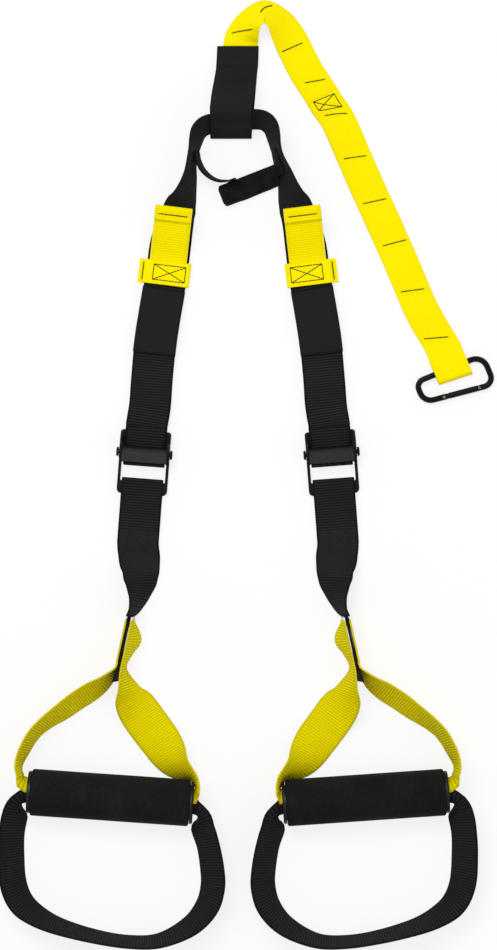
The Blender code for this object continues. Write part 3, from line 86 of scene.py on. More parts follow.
class Side(Enum):
    """Which arm a piece belongs to; the value is the sign of X."""

    LEFT = -1
    RIGHT = 1

    @property
    def label(self) -> str:
        """Return the word that ends the names of this arm's pieces."""
        return self.name.lower()


class Slot(Enum):
    """The names of the record's material slots, which are handed to the builders of rebuilt pieces.
    """

    BLACK = "webbing_black"
    YELLOW = "webbing_yellow"
    HOOK = "hook_and_loop"
    COVER = "cover_ply"
    FOAM = "grip_foam"


# Shader building


class Shade:
    """A node's output on which shader maths is written as plain expressions."""

    def __init__(self, bench: "Bench", socket: bpy.types.NodeSocket) -> None:
        """Keep the output and the bench that it belongs to."""
        self.bench = bench
        self.socket = socket

    def _maths(self, operation: str, *terms: Any) -> "Shade":
        """Return the output of a Math node on some terms."""
        return self.bench.add("ShaderNodeMath", {"operation": operation}, dict(enumerate(terms)))

    def __add__(self, other: Any) -> "Shade":
        """Return the sum."""
        return self._maths("ADD", self, other)

    def __sub__(self, other: Any) -> "Shade":
        """Return the difference."""
        return self._maths("SUBTRACT", self, other)

    def __rsub__(self, other: Any) -> "Shade":
        """Return the difference the other way round."""
        return self._maths("SUBTRACT", other, self)

    def __mul__(self, other: Any) -> "Shade":
        """Return the product."""
        return self._maths("MULTIPLY", self, other)

    def __truediv__(self, other: Any) -> "Shade":
        """Return the quotient."""
        return self._maths("DIVIDE", self, other)

    def __pow__(self, other: Any) -> "Shade":
        """Return the power."""
        return self._maths("POWER", self, other)

    __radd__ = __add__
    __rmul__ = __mul__

    def __abs__(self) -> "Shade":
        """Return the size without its sign."""
        return self._maths("ABSOLUTE", self)

    def wave(self, period: float) -> "Shade":
        """Return a wave from 0 to 1 that repeats once in each period."""
        return self._maths("COSINE", self * (2.0 * math.pi / period)) * 0.5 + 0.5

    def larger(self, other: Any) -> "Shade":
        """Return the larger of two values."""
        return self._maths("MAXIMUM", self, other)

    def above(self, low: float, high: float) -> "Shade":
        """Return 0 below the low limit, 1 above the high one, and a smooth rise between."""
        settings = {"interpolation_type": "SMOOTHSTEP"}
        return self.bench.add("ShaderNodeMapRange", settings, {0: self, 1: low, 2: high})


class Bench:
    """Where the nodes of one material are laid out."""

    def __init__(self, name: str) -> None:
        """Start an empty material.

        Args:
            name: The material's name.
        """
        self.material = bpy.data.materials.new(name)
        self.material.use_nodes = True
        self.tree = self.material.node_tree
        self.tree.nodes.clear()

    def node(self, kind: str, settings: Optional[Dict[str, Any]] = None,
             inputs: Optional[Dict[Any, Any]] = None) -> bpy.types.Node:
        """Add one node.

        Args:
            kind: The node's type.
            settings: Its settings, set first.
            inputs: Values or outputs for its sockets, by name or number.

        Returns:
            The new node.
        """
        node = self.tree.nodes.new(kind)
        for key, value in (settings or {}).items():
            setattr(node, key, value)
        for key, value in (inputs or {}).items():
            if isinstance(value, Shade):
                self.tree.links.new(value.socket, node.inputs[key])
            else:
                node.inputs[key].default_value = value
        return node

    def add(self, kind: str, settings: Optional[Dict[str, Any]] = None,
            inputs: Optional[Dict[Any, Any]] = None, output: Any = 0) -> Shade:
        """Add one node and return one of its outputs.

        Args:
            kind: The node's type.
            settings: Its settings, set first.
            inputs: Values or outputs for its sockets.
            output: The name or number of the output to return.

        Returns:
            The output, ready for maths.
        """
        return Shade(self, self.node(kind, settings, inputs).outputs[output])

    def blend(self, share: Any, first: Any, second: Any) -> Shade:
        """Return a colour between two, by a share.

        Args:
            share: How much of the second colour.
            first: A colour or an output.
            second: A colour or an output.

        Returns:
            The mixed colour.
        """
        def full(value: Any) -> Any:
            """Return a value that a colour socket takes."""
            return value if isinstance(value, Shade) else (*value, 1.0)
        settings = {"data_type": "RGBA", "clamp_factor": True}
        return self.add("ShaderNodeMix", settings, {0: share, 6: full(first), 7: full(second)}, 2)

    def grain(self, place: Shade, scale: float, detail: float = 2.0, seed: float = 0.0) -> Shade:
        """Return fractal noise from about 0.2 to 0.8.

        Args:
            place: The coordinates.
            scale: Blobs in each unit of the coordinates.
            detail: How many finer layers it has.
            seed: Which noise it is.

        Returns:
            The noise.
        """
        inputs = {"Vector": place, "Scale": scale, "Detail": detail, "W": seed}
        return self.add("ShaderNodeTexNoise", {"noise_dimensions": "4D"}, inputs, "Fac")

    def bump(self, height: Shade, distance: float, before: Optional[Shade] = None) -> Shade:
        """Return a normal bent by a height from 0 to 1.

        Args:
            height: The height.
            distance: The depth that 1 stands for.
            before: A normal that is bent already.

        Returns:
            The bent normal.
        """
        inputs: Dict[Any, Any] = {"Height": height, "Distance": distance}
        if before is not None:
            inputs["Normal"] = before
        return self.add("ShaderNodeBump", None, inputs)

    def strap_place(self) -> Tuple[Shade, Shade, Shade]:
        """Return a strap's own coordinates.

        Returns:
            Across, along, and both as a vector.
        """
        both = self.add("ShaderNodeUVMap", {"uv_map": "strap"})
        parts = self.node("ShaderNodeSeparateXYZ", None, {0: both})
        return Shade(self, parts.outputs[0]), Shade(self, parts.outputs[1]), both

    def solid_place(self) -> Shade:
        """Return the coordinates of a rigid piece."""
        return self.add("ShaderNodeTexCoord", None, None, "Object")

    def finish(self, colour: Any, roughness: Any, **sockets: Any) -> bpy.types.Material:
        """Close the material with a Principled shader.

        Args:
            colour: The base colour, a colour or an output.
            roughness: The roughness, a number or an output.
            sockets: Other sockets, with underscores for the spaces in their names.

        Returns:
            The material.
        """
        base = colour if isinstance(colour, Shade) else (*colour, 1.0)
        inputs: Dict[Any, Any] = {"Base Color": base, "Roughness": roughness}
        for name, value in sockets.items():
            inputs[name.replace("_", " ")] = value
        shader = self.node("ShaderNodeBsdfPrincipled", None, inputs)
        end = self.node("ShaderNodeOutputMaterial")
        self.tree.links.new(shader.outputs[0], end.inputs[0])
        return self.material


# Finishes


@dataclass(frozen=True)
class Webbing:
    """Woven webbing with cross ribs, fine warp threads and a smoother woven edge."""

    name: str
    colour: Colour
    # A darker colour: it is painted into the rib grooves as shade, and also used for random darker
    # mottling.
    groove: Colour
    fray: Colour
    half_width: float
    rib_pitch: float = 0.0024
    rib_depth: float = 0.00042
    warp_pitch: float = 0.0011
    rib_share: float = 1.0
    roughness: float = 0.78
    specular: float = 0.06
    sheen: float = 0.02
    cut: float = 0.0
    plain: Optional[Spot] = None
    fade: float = 0.004

    def material(self) -> bpy.types.Material:
        """Lay out the webbing's nodes.

        Returns:
            The material.
        """
        bench = Bench(self.name)
        across, along, both = bench.strap_place()
        warp = across.wave(self.warp_pitch)
        drift = bench.grain(both, 60.0, 1.0, 3.0)
        ribs = (along + warp * (0.16 * self.rib_pitch) + drift * 0.0006).wave(self.rib_pitch) ** 0.7
        if self.plain:
            first, last = self.plain
            fade = 1.5 * self.fade
            flat = along.above(first - self.fade, first + self.fade)
            flat = flat * (1.0 - along.above(last - fade, last + fade))
            ribs = ribs * (1.0 - flat * 0.85) + flat * 0.5
        threads = (along * 1.0 + across * 0.35).wave(0.00062) * warp
        edge = abs(across).above(self.half_width - 0.0022, self.half_width - 0.0013)
        middle = 1.0 - edge
        weave = ribs * self.rib_share * (middle * 0.75 + 0.25) + warp * 0.22 + threads * 0.12
        broad = bench.grain(both, 34.0, 2.0, 1.0)
        fine = bench.grain(both, 900.0, 2.0, 2.0)
        # Painted shade: the weave's relief is painted into the colour, with the grooves in the
        # darker colour and the raised ribs in the lighter one.
        lit = (weave * 0.85 + fine * 0.25).above(0.12, 0.95)
        tone = bench.blend(lit, self.groove, self.colour)
        worn = (abs(across).above(self.half_width - 0.001, self.half_width + 0.0006)
                * broad.above(0.35, 0.7))
        tone = bench.blend(worn * 0.35, tone, self.fray)
        # Random darker mottling, towards the same darker colour.
        tone = bench.blend(broad.above(0.3, 0.75) * 0.18, tone, self.groove)
        if self.cut:
            sealed = 1.0 - (along + (fine - 0.5) * 0.003).above(self.cut * 0.5, self.cut)
            tone = bench.blend(sealed, tone, (0.78, 0.77, 0.86))
        normal = bench.bump(weave + fine * 0.2, self.rib_depth)
        rough = self.roughness + (fine - 0.5) * 0.16 - ribs * 0.05
        return bench.finish(tone, rough, Normal=normal, Specular_IOR_Level=self.specular,
                            Sheen_Weight=self.sheen, Sheen_Roughness=0.45,
                            Sheen_Tint=(*self.fray, 1.0))


@dataclass(frozen=True)
class HookBand:
    """Brushed hook and loop band with a plain sewn edge."""

    name: str
    colour: Colour = (0.0042, 0.0042, 0.0048)
    pile: Colour = (0.0115, 0.0115, 0.0122)
    half_width: float = 0.010

    def material(self) -> bpy.types.Material:
        """Lay out the band's nodes.

        Returns:
            The material.
        """
        bench = Bench(self.name)
        across, _, both = bench.strap_place()
        pile = bench.grain(both, 1400.0, 3.0, 5.0)
        matted = bench.grain(both, 120.0, 2.0, 6.0)
        edge = abs(across).above(self.half_width - 0.0018, self.half_width - 0.0012)
        height = (pile * 0.7 + matted * 0.6) * (1.0 - edge) + edge * 0.35
        tone = bench.blend((pile + matted - 0.5).above(0.2, 0.8), self.colour, self.pile)
        normal = bench.bump(height, 0.0006)
        return bench.finish(tone, 0.85 + (pile - 0.5) * 0.1, Normal=normal, Specular_IOR_Level=0.07,
                            Sheen_Weight=0.04, Sheen_Roughness=0.6, Sheen_Tint=(0.1, 0.1, 0.1, 1.0))


@dataclass(frozen=True)
class PlainWeave:
    """Thin smooth ply of tight plain weave, slightly puckered along its seams."""

    name: str
    colour: Colour = (0.0062, 0.0062, 0.0070)
    light: Colour = (0.0115, 0.0115, 0.0128)
    half_width: float = 0.01925

    def material(self) -> bpy.types.Material:
        """Lay out the ply's nodes.

        Returns:
            The material.
        """
        bench = Bench(self.name)
        across, along, both = bench.strap_place()
        weave = across.wave(0.0008) * along.wave(0.0008)
        pucker = along.wave(0.0051) * abs(across).above(self.half_width - 0.007, self.half_width)
        soft = bench.grain(both, 45.0, 3.0, 7.0)
        tone = bench.blend((weave * 0.5 + soft * 0.5).above(0.1, 0.8), self.colour, self.light)
        normal = bench.bump(weave * 0.12 + pucker * 0.6 + soft * 0.8, 0.0005)
        return bench.finish(tone, 0.64 + (soft - 0.5) * 0.2, Normal=normal, Specular_IOR_Level=0.1,
                            Sheen_Weight=0.02, Sheen_Roughness=0.5)


@dataclass(frozen=True)
class SewingThread:
    """Twisted bonded sewing thread."""

    name: str
    colour: Colour
    shadow: Colour

    def material(self) -> bpy.types.Material:
        """Lay out the thread's nodes.

        Returns:
            The material.
        """
        bench = Bench(self.name)
        across, along, both = bench.strap_place()
        twist = (along + across * 0.35).wave(0.0005)
        fuzz = bench.grain(both, 2200.0, 2.0, 8.0)
        tone = bench.blend(twist * 0.7 + fuzz * 0.3, self.shadow, self.colour)
        return bench.finish(tone, 0.55 + fuzz * 0.2, Normal=bench.bump(twist, 0.00008),
                            Specular_IOR_Level=0.3)


@dataclass(frozen=True)
class Foam:
    """Matte closed-cell foam with a rubbed skin."""

    name: str
    colour: Colour = (0.0050, 0.0050, 0.0052)
    rubbed: Colour = (0.0115, 0.0115, 0.0118)

    def material(self) -> bpy.types.Material:
        """Lay out the foam's nodes.

        Returns:
            The material.
        """
        bench = Bench(self.name)
        place = bench.solid_place()
        inputs = {"Vector": place, "Scale": 950.0}
        cells = bench.add("ShaderNodeTexVoronoi", {"feature": "F1"}, inputs, "Distance")
        coarse = bench.grain(place, 260.0, 3.0, 1.0)
        rub = bench.grain(place, 28.0, 3.0, 2.0)
        tone = bench.blend((rub * 0.6 + coarse * 0.5).above(0.35, 0.85), self.colour, self.rubbed)
        normal = bench.bump(cells * 0.8 + coarse * 0.9, 0.00028)
        rough = 0.84 + (coarse - 0.5) * 0.16 - rub.above(0.5, 0.8) * 0.06
        return bench.finish(tone, rough, Normal=normal, Specular_IOR_Level=0.09,
                            Sheen_Weight=0.01, Sheen_Roughness=0.6)


@dataclass(frozen=True)
class Hard:
    """Hard surface with a fine texture, handling marks and lighter worn edges."""

    name: str
    colour: Colour
    worn: Colour
    roughness: float
    metallic: float = 0.0
    specular: float = 0.5
    coat: float = 0.0
    texture_scale: float = 1500.0
    texture_depth: float = 0.00003
    wear_share: float = 0.5
    edge_radius: float = 0.0005

    def material(self) -> bpy.types.Material:
        """Lay out the surface's nodes.

        Returns:
            The material.
        """
        bench = Bench(self.name)
        place = bench.solid_place()
        texture = bench.grain(place, self.texture_scale, 2.0, 1.0)
        marks = bench.grain(place, 90.0, 4.0, 2.0)
        drawn = bench.add("ShaderNodeMapping", None, {"Vector": place, "Scale": (1.0, 14.0, 14.0)})
        inputs = {"Vector": drawn, "Scale": 130.0, "Detail": 4.0, "Roughness": 0.7}
        scratches = bench.add("ShaderNodeTexNoise", None, inputs, "Fac").above(0.62, 0.72)
        soft = bench.add("ShaderNodeBevel", {"samples": 4}, {"Radius": self.edge_radius})
        true = bench.add("ShaderNodeNewGeometry", None, None, "Normal")
        settings = {"operation": "DOT_PRODUCT"}
        same = bench.add("ShaderNodeVectorMath", settings, {0: soft, 1: true}, "Value")
        edges = (1.0 - same).above(0.01, 0.12) * marks.above(0.4, 0.62)
        worn = edges.larger(scratches * 0.25) * self.wear_share
        tone = bench.blend(worn, self.colour, self.worn)
        rough = self.roughness + (marks - 0.5) * 0.18 + scratches * 0.06
        normal = bench.bump(texture, self.texture_depth)
        return bench.finish(tone, rough, Normal=normal, Metallic=self.metallic,
                            Specular_IOR_Level=self.specular, Coat_Weight=self.coat,
                            Coat_Roughness=0.12)


BLACK_WEB = Webbing("ribbed black webbing", (0.0205, 0.0205, 0.0208), (0.0030, 0.0030, 0.0032),
                    (0.040, 0.040, 0.040), WEB_WIDTH / 2, specular=0.05)
LOWER_WEB = replace(BLACK_WEB, name="ribbed black webbing with a pressed seam",
                    plain=(0.107, 0.150))
CROWN_WEB = replace(BLACK_WEB, name="black webbing with faint ribs",
                    colour=(0.0225, 0.0225, 0.0228), groove=(0.0100, 0.0100, 0.0103),
                    rib_share=0.5, rib_depth=0.00022)
SLEEVE_WEB = Webbing("close black sleeve", (0.0170, 0.0170, 0.0173), (0.0115, 0.0115, 0.0118),
                     (0.032, 0.032, 0.032), WEB_WIDTH / 2, rib_pitch=0.0031, rib_depth=0.00012,
                     rib_share=0.22, specular=0.07)
YELLOW_WEB = Webbing("ribbed yellow webbing", (0.97, 0.83, 0.0), (0.80, 0.66, 0.0),
                     (0.95, 0.87, 0.16), YELLOW_WIDTH / 2, rib_depth=0.00022, rib_share=0.7,
                     specular=0.03, sheen=0.0)
YELLOW_HANDLE_WEB = Webbing("ribbed yellow handle webbing", (0.88, 0.76, 0.0), (0.50, 0.41, 0.0),
                            (0.95, 0.87, 0.16), WEB_WIDTH / 2, rib_depth=0.00034, specular=0.03,
                            sheen=0.0, cut=0.0032)
SMOOTH_YELLOW_WEB = Webbing("smooth yellow webbing", (0.955, 0.82, 0.0), (0.88, 0.74, 0.0),
                            (0.96, 0.88, 0.14), YELLOW_WIDTH / 2, rib_pitch=0.0016,
                            rib_depth=0.00010, rib_share=0.3, specular=0.03, sheen=0.0)
HOOK_BAND = HookBand("hook and loop")
COVER_PLY = PlainWeave("cover ply")
BLACK_THREAD = SewingThread("black thread", (0.009, 0.009, 0.010), (0.002, 0.002, 0.002))
GRIP_FOAM = Foam("grip foam")
BUCKLE_STEEL = Hard("black coated steel", (0.0040, 0.0040, 0.0043), (0.06, 0.06, 0.062), 0.30,
                    specular=0.12, wear_share=0.10)
CAM_STEEL = Hard("cam steel", (0.0085, 0.0085, 0.0090), (0.07, 0.07, 0.072), 0.34,
                 specular=0.09, wear_share=0.12)
CARABINER_BLACK = Hard("anodised black", (0.0015, 0.0015, 0.0017), (0.06, 0.06, 0.062), 0.15,
                       specular=0.17, texture_scale=700.0, texture_depth=0.000008,
                       wear_share=0.06)
BRIGHT_STEEL = Hard("drawn steel", (0.42, 0.42, 0.43), (0.55, 0.55, 0.56), 0.3, metallic=1.0,
                    texture_scale=900.0, texture_depth=0.00001)
GRIP_PLASTIC = Hard("moulded plastic", (0.0042, 0.0042, 0.0047), (0.03, 0.03, 0.032), 0.40,
                    specular=0.30, texture_scale=2400.0, texture_depth=0.00005, wear_share=0.12)


class Palette:
    """Every finish, made once and shared by the pieces that wear it."""

    def __init__(self) -> None:
        """Start with no material."""
        self._made: Dict[str, bpy.types.Material] = {}

    def __call__(self, finish: Any) -> bpy.types.Material:
        """Return a finish's material, made at its first use.

        Args:
            finish: The finish.

        Returns:
            The material.
        """
        if finish.name not in self._made:
            self._made[finish.name] = finish.material()
        return self._made[finish.name]


PALETTE = Palette()


# Strap geometry


@dataclass
class Row:
    """One line across a strap: its middle, its direction across, its face and its curl."""

    place: Vector
    way: Vector
    face: Vector = field(default_factory=lambda: Vector((0.0, 0.0, -1.0)))
    curl: float = 0.0


def smooth_route(stations: Sequence[Station], spacing: float) -> List[Vector]:
    """Return stations at an even spacing on a smooth curve through the given ones.

    Args:
        stations: Rows that begin with X, Y and Z.
        spacing: The distance between the new rows.

    Returns:
        The new rows.
    """
    rows = [Vector(row) for row in stations]
    rows = [2 * rows[0] - rows[1]] + rows + [2 * rows[-1] - rows[-2]]
    result = [rows[1]]
    for index in range(1, len(rows) - 2):
        before, here, there, after = rows[index - 1:index + 3]
        count = max(1, round((there.xyz - here.xyz).length / spacing))
        for step in range(1, count + 1):
            share = step / count
            result.append(0.5 * (
                2 * here + (there - before) * share
                + (2 * before - 5 * here + 4 * there - after) * share ** 2
                + (3 * here - before - 3 * there + after) * share ** 3))
    return result


def face_rows(rows: List[Row]) -> List[Row]:
    """Set each row's face square to its width and to the strap's run.

    Args:
        rows: The rows, in order.

    Returns:
        The same rows.
    """
    last = len(rows) - 1
    for index, row in enumerate(rows):
        run = rows[min(index + 1, last)].place - rows[max(index - 1, 0)].place
        row.face = row.way.cross(run).normalized()
    return rows


def lying_rows(stations: Sequence[Station], width: float, thickness: float,
               spacing: float = 0.0026) -> List[Row]:
    """Return the rows of a strap that lies or leans on the floor.

    Args:
        stations: X, Y, the lower edge's height, the lean and the curl of each station.
        width: The strap's width.
        thickness: The strap's thickness.
        spacing: The distance between rows.

    Returns:
        The rows.
    """
    flat = [(x, y, 0.0, lift, lean, curl) for x, y, lift, lean, curl in stations]
    route = smooth_route(flat, spacing)
    rows = []
    for index, (x, y, _, lift, lean, curl) in enumerate(route):
        ahead = route[min(index + 1, len(route) - 1)].xyz - route[max(index - 1, 0)].xyz
        left = Vector((-ahead.y, ahead.x, 0.0)).normalized()
        turn = math.radians(lean)
        height = lift + abs(math.sin(turn)) * width / 2 + abs(math.cos(turn)) * thickness / 2
        way = left * math.cos(turn) + Vector((0.0, 0.0, math.sin(turn)))
        rows.append(Row(Vector((x, y, height)), way, curl=math.radians(max(curl, 0.0))))
    return face_rows(rows)


def eased_line(points: Sequence[Vector], spacing: float, softness: int) -> List[Vector]:
    """Return closely spaced points on a line whose corners are eased.

    Args:
        points: The line's corners.
        spacing: The distance between the new points.
        softness: How many times the corners are eased.

    Returns:
        The new points.
    """
    fine = [points[0]]
    for here, there in zip(points, points[1:]):
        count = max(1, round((there - here).length / spacing))
        fine += [here.lerp(there, step / count) for step in range(1, count + 1)]
    for _ in range(softness):
        inner = [(a + 2 * b + c) / 4 for a, b, c in zip(fine, fine[1:], fine[2:])]
        fine = [fine[0]] + inner + [fine[-1]]
    return fine


def folded_rows(points: Sequence[Station], plane: Matrix, spacing: float = 0.0005,
                softness: int = 2) -> List[Row]:
    """Return the rows of a strap that folds in an upright plane.

    Args:
        points: Distance and height pairs along the fold.
        plane: The frame that the distances are measured in.
        spacing: The distance between rows in a bend.
        softness: How many times the corners are eased.

    Returns:
        The rows, sparse where the strap runs straight.
    """
    line = [Vector((0.0, along, height)) for along, height in points]
    fine = eased_line(line, spacing, softness)
    kept = [fine[0]]
    heading = fine[1] - fine[0]
    for before, here, after in zip(fine, fine[1:], fine[2:]):
        turn = heading.angle(after - before, 0.0)
        if turn > math.radians(7.0) or (here - kept[-1]).length > 0.003:
            kept.append(here)
            heading = after - before
    kept.append(fine[-1])
    way = plane.to_3x3() @ Vector((1.0, 0.0, 0.0))
    return face_rows([Row(plane @ point, way.copy()) for point in kept])


def across_rows(points: Sequence[Vector], way: Vector, spacing: float = 0.0006,
                softness: int = 2) -> List[Row]:
    """Return the rows of a strap along points, all with one direction across.

    Args:
        points: The points.
        way: The direction across the strap.
        spacing: The distance between rows.
        softness: How many times the corners are eased.

    Returns:
        The rows.
    """
    fine = eased_line(points, spacing, softness)
    return face_rows([Row(point, way.copy()) for point in fine])


def arc(middle: Spot, radius: float, start: float, end: float, steps: int) -> List[Spot]:
    """Return points on an arc.

    Args:
        middle: The arc's middle.
        radius: Its radius.
        start: Its first angle.
        end: Its last angle.
        steps: How many steps it has.

    Returns:
        The points.
    """
    turns = [math.radians(start + (end - start) * step / steps) for step in range(steps + 1)]
    return [(middle[0] + radius * math.cos(turn), middle[1] + radius * math.sin(turn))
            for turn in turns]


def plan_frame(x: float, y: float, tilt: float) -> Matrix:
    """Return a frame in the plan, turned by a tilt towards the middle."""
    return Matrix.Translation((x, y, 0.0)) @ Matrix.Rotation(math.radians(tilt), 4, "Z")


@dataclass
class Strap:
    """A flat strap with soft rounded edges, swept along its rows."""

    name: str
    rows: List[Row]
    width: float
    thickness: float
    side: Side = Side.RIGHT
    columns: int = 8
    round_end: float = 0.0
    round_start: float = 0.0
    waver: float = 0.00012
    mirrored: bool = False
    tucked: float = 0.0
    marks: List[float] = field(default_factory=list)

    def __post_init__(self) -> None:
        """Lengthen ends that tuck into the next strap, and measure where each row lies."""
        if self.tucked:
            for end, inner, at in ((0, 1, 0), (-1, -2, len(self.rows) + 1)):
                last = self.rows[end]
                out = (last.place - self.rows[inner].place).normalized()
                place = last.place + out * self.tucked
                self.rows.insert(at, Row(place, last.way.copy(), last.face.copy(), last.curl))
        self.marks = [0.0]
        for here, there in zip(self.rows, self.rows[1:]):
            self.marks.append(self.marks[-1] + (there.place - here.place).length)

    @property
    def length(self) -> float:
        """Return the strap's length."""
        return self.marks[-1]

    def placed(self, point: Vector) -> Vector:
        """Return a point of an arm's plan in the row frame."""
        return Vector((point.x * self.side.value, point.y, point.z)) + TRAINER_MIDDLE

    def skin(self, row: Row, across: float, height: float) -> Vector:
        """Place a point on a row's section.

        Args:
            row: The row.
            across: The distance across from the row's middle.
            height: The height above the strap's middle surface.

        Returns:
            The point, in the arm's plan.
        """
        if row.curl > 0.0002:
            radius = self.width / row.curl
            turn = across / radius
            out = row.way * math.sin(turn) - row.face * math.cos(turn)
            return row.place + row.face * radius + out * (radius + height)
        return row.place + row.way * across - row.face * height

    def half_width(self, index: int) -> float:
        """Work out half the strap's width at a row, which is less at a rounded end.

        Args:
            index: The row's number.

        Returns:
            Half the width.
        """
        half = self.width / 2
        for rest, corner in ((self.length - self.marks[index], self.round_end),
                             (self.marks[index], self.round_start)):
            if rest < corner:
                half -= corner - math.sqrt(max(0.0, corner ** 2 - (corner - rest) ** 2))
        return half

    def ring(self, index: int) -> Tuple[List[Vector], List[float]]:
        """Lay out the points round one row's section.

        Args:
            index: The row's number.

        Returns:
            The points, and how far across each lies.
        """
        row = self.rows[index]
        half, thick = self.half_width(index), self.thickness / 2
        if self.tucked and index in (0, len(self.rows) - 1):
            half, thick = half - 0.1 * thick, 0.7 * thick
        wave = noise.noise(row.place * 55.0 + Vector((self.width, self.side.value, 0.0)))
        inner = max(half - thick, half * 0.3) + wave * self.waver
        flat = [inner * (2.0 * step / self.columns - 1.0) for step in range(self.columns + 1)]
        bend = [(inner + thick * math.cos(turn), thick * math.sin(turn))
                for turn in (math.pi / 4, 0.0, -math.pi / 4)]
        outline = [(across, thick) for across in flat] + bend
        outline += [(across, -thick) for across in reversed(flat)]
        outline += [(-across, height) for across, height in reversed(bend)]
        return [self.skin(row, *point) for point in outline], [across for across, _ in outline]

    def build(self, finish: Any, slot: Slot) -> bpy.types.Object:
        """Make the strap's mesh and dress it.

        Args:
            finish: The strap's finish.
            slot: Not used.

        Returns:
            The strap.
        """
        shape = bmesh.new()
        layer = shape.loops.layers.uv.new("strap")
        rings, shares = [], []
        marks = [min(mark, self.length - mark) if self.mirrored else mark for mark in self.marks]
        for index in range(len(self.rows)):
            points, across = self.ring(index)
            rings.append([shape.verts.new(self.placed(point)) for point in points])
            shares.append(across)
        count = len(rings[0])
        for index in range(len(rings) - 1):
            for corner in range(count):
                beside = (corner + 1) % count
                square = shape.faces.new((rings[index][corner], rings[index][beside],
                                          rings[index + 1][beside], rings[index + 1][corner]))
                places = ((corner, index), (beside, index),
                          (beside, index + 1), (corner, index + 1))
                for loop, (step, line) in zip(square.loops, places):
                    loop[layer].uv = (shares[line][step], marks[line])
                square.smooth = True
        for line in (0, len(rings) - 1):
            cap = shape.faces.new(rings[line])
            for loop, across in zip(cap.loops, shares[line]):
                loop[layer].uv = (across, marks[line])
        bmesh.ops.recalc_face_normals(shape, faces=shape.faces)
        return finish_mesh(self.name, shape, finish)

    def spot(self, along: float, across: float, lift: float) -> Vector:
        """Return a point above the side of the strap that faces up.

        Args:
            along: The distance along the strap.
            across: The distance across from its middle.
            lift: The height above its surface.

        Returns:
            The point, in the row frame.
        """
        index = 1
        while index < len(self.marks) - 1 and self.marks[index] < along:
            index += 1
        low, high = self.rows[index - 1], self.rows[index]
        step = max(self.marks[index] - self.marks[index - 1], 1e-9)
        share = (along - self.marks[index - 1]) / step
        share = min(max(share, 0.0), 1.0)
        mixed = Row(low.place.lerp(high.place, share), low.way.lerp(high.way, share).normalized(),
                    low.face.lerp(high.face, share).normalized(),
                    low.curl + (high.curl - low.curl) * share)
        up = -1.0 if mixed.face.z > 0.0 else 1.0
        return self.placed(self.skin(mixed, across, up * (self.thickness / 2 + lift)))

    def locate(self, x: float, y: float, first: float = 0.0) -> Spot:
        """Return how far along and across the strap a point of the plan lies.

        Args:
            x: The point's X in the row frame.
            y: The point's Y in the row frame.
            first: Where along the strap the search starts.

        Returns:
            The distances along and across.
        """
        point = Vector(((x - TRAINER_MIDDLE.x) * self.side.value, y - TRAINER_MIDDLE.y, 0.0))
        best = (math.inf, 0.0, 0.0)
        for index in range(len(self.rows) - 1):
            if self.marks[index] < first:
                continue
            low, high = self.rows[index], self.rows[index + 1]
            run = (high.place - low.place).to_2d()
            if run.length < 1e-6:
                continue
            share = (point.to_2d() - low.place.to_2d()).dot(run) / run.length_squared
            share = min(max(share, 0.0), 1.0)
            foot = low.place.lerp(high.place, share)
            flat = low.way.to_2d()
            across = (point.to_2d() - foot.to_2d()).dot(flat) / flat.length_squared
            gap = (point.to_2d() - foot.to_2d() - flat * across).length
            if gap < best[0]:
                step = self.marks[index + 1] - self.marks[index]
                best = (gap, self.marks[index] + share * step, across)
        return best[1], best[2]


# Pieces


def finish_mesh(name: str, shape: bmesh.types.BMesh, finish: Any) -> bpy.types.Object:
    """Turn a finished shape into a dressed object.

    Args:
        name: The piece's name.
        shape: Its shape, which is freed.
        finish: Its finish.

    Returns:
        The object.
    """
    mesh = bpy.data.meshes.new(name)
    shape.to_mesh(mesh)
    shape.free()
    mesh.materials.append(PALETTE(finish))
    thing = bpy.data.objects.new(name, mesh)
    bpy.context.scene.collection.objects.link(thing)
    LOG.info("made %s with %d faces", name, len(mesh.polygons))
    return thing


def carry(thing: bpy.types.Object, body: str, *nodes: str) -> bpy.types.Object:
    """Hang a finished piece on a body, in place of some CAD nodes.

    Args:
        thing: The piece.
        body: The body's name.
        nodes: The names of the nodes that it replaces.

    Returns:
        The piece.
    """
    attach(thing, body)
    if nodes:
        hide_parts(*nodes)
    return thing


def dress_node(name: str, finish: Any, bevel: float = 0.00025) -> None:
    """Give a carried-over CAD node its finish, smooth shading and softened edges.

    Args:
        name: The node's name.
        finish: Its finish.
        bevel: The width of its softened edges.
    """
    node = frame["nodes"][name]
    split = node.data.attributes.get("custom_normal")
    if split is not None:
        node.data.attributes.remove(split)
    node.data.materials.clear()
    node.data.materials.append(PALETTE(finish))
    for face in node.data.polygons:
        face.use_smooth = True
    weld = node.modifiers.new("joined corners", "WELD")
    weld.merge_threshold = 0.00001
    edges = node.modifiers.new("softened edges", "BEVEL")
    edges.width = bevel
    edges.segments = 2
    edges.limit_method = "ANGLE"
    edges.angle_limit = math.radians(32.0)
    edges.harden_normals = True
    LOG.info("dressed %s", name)


# Sewing


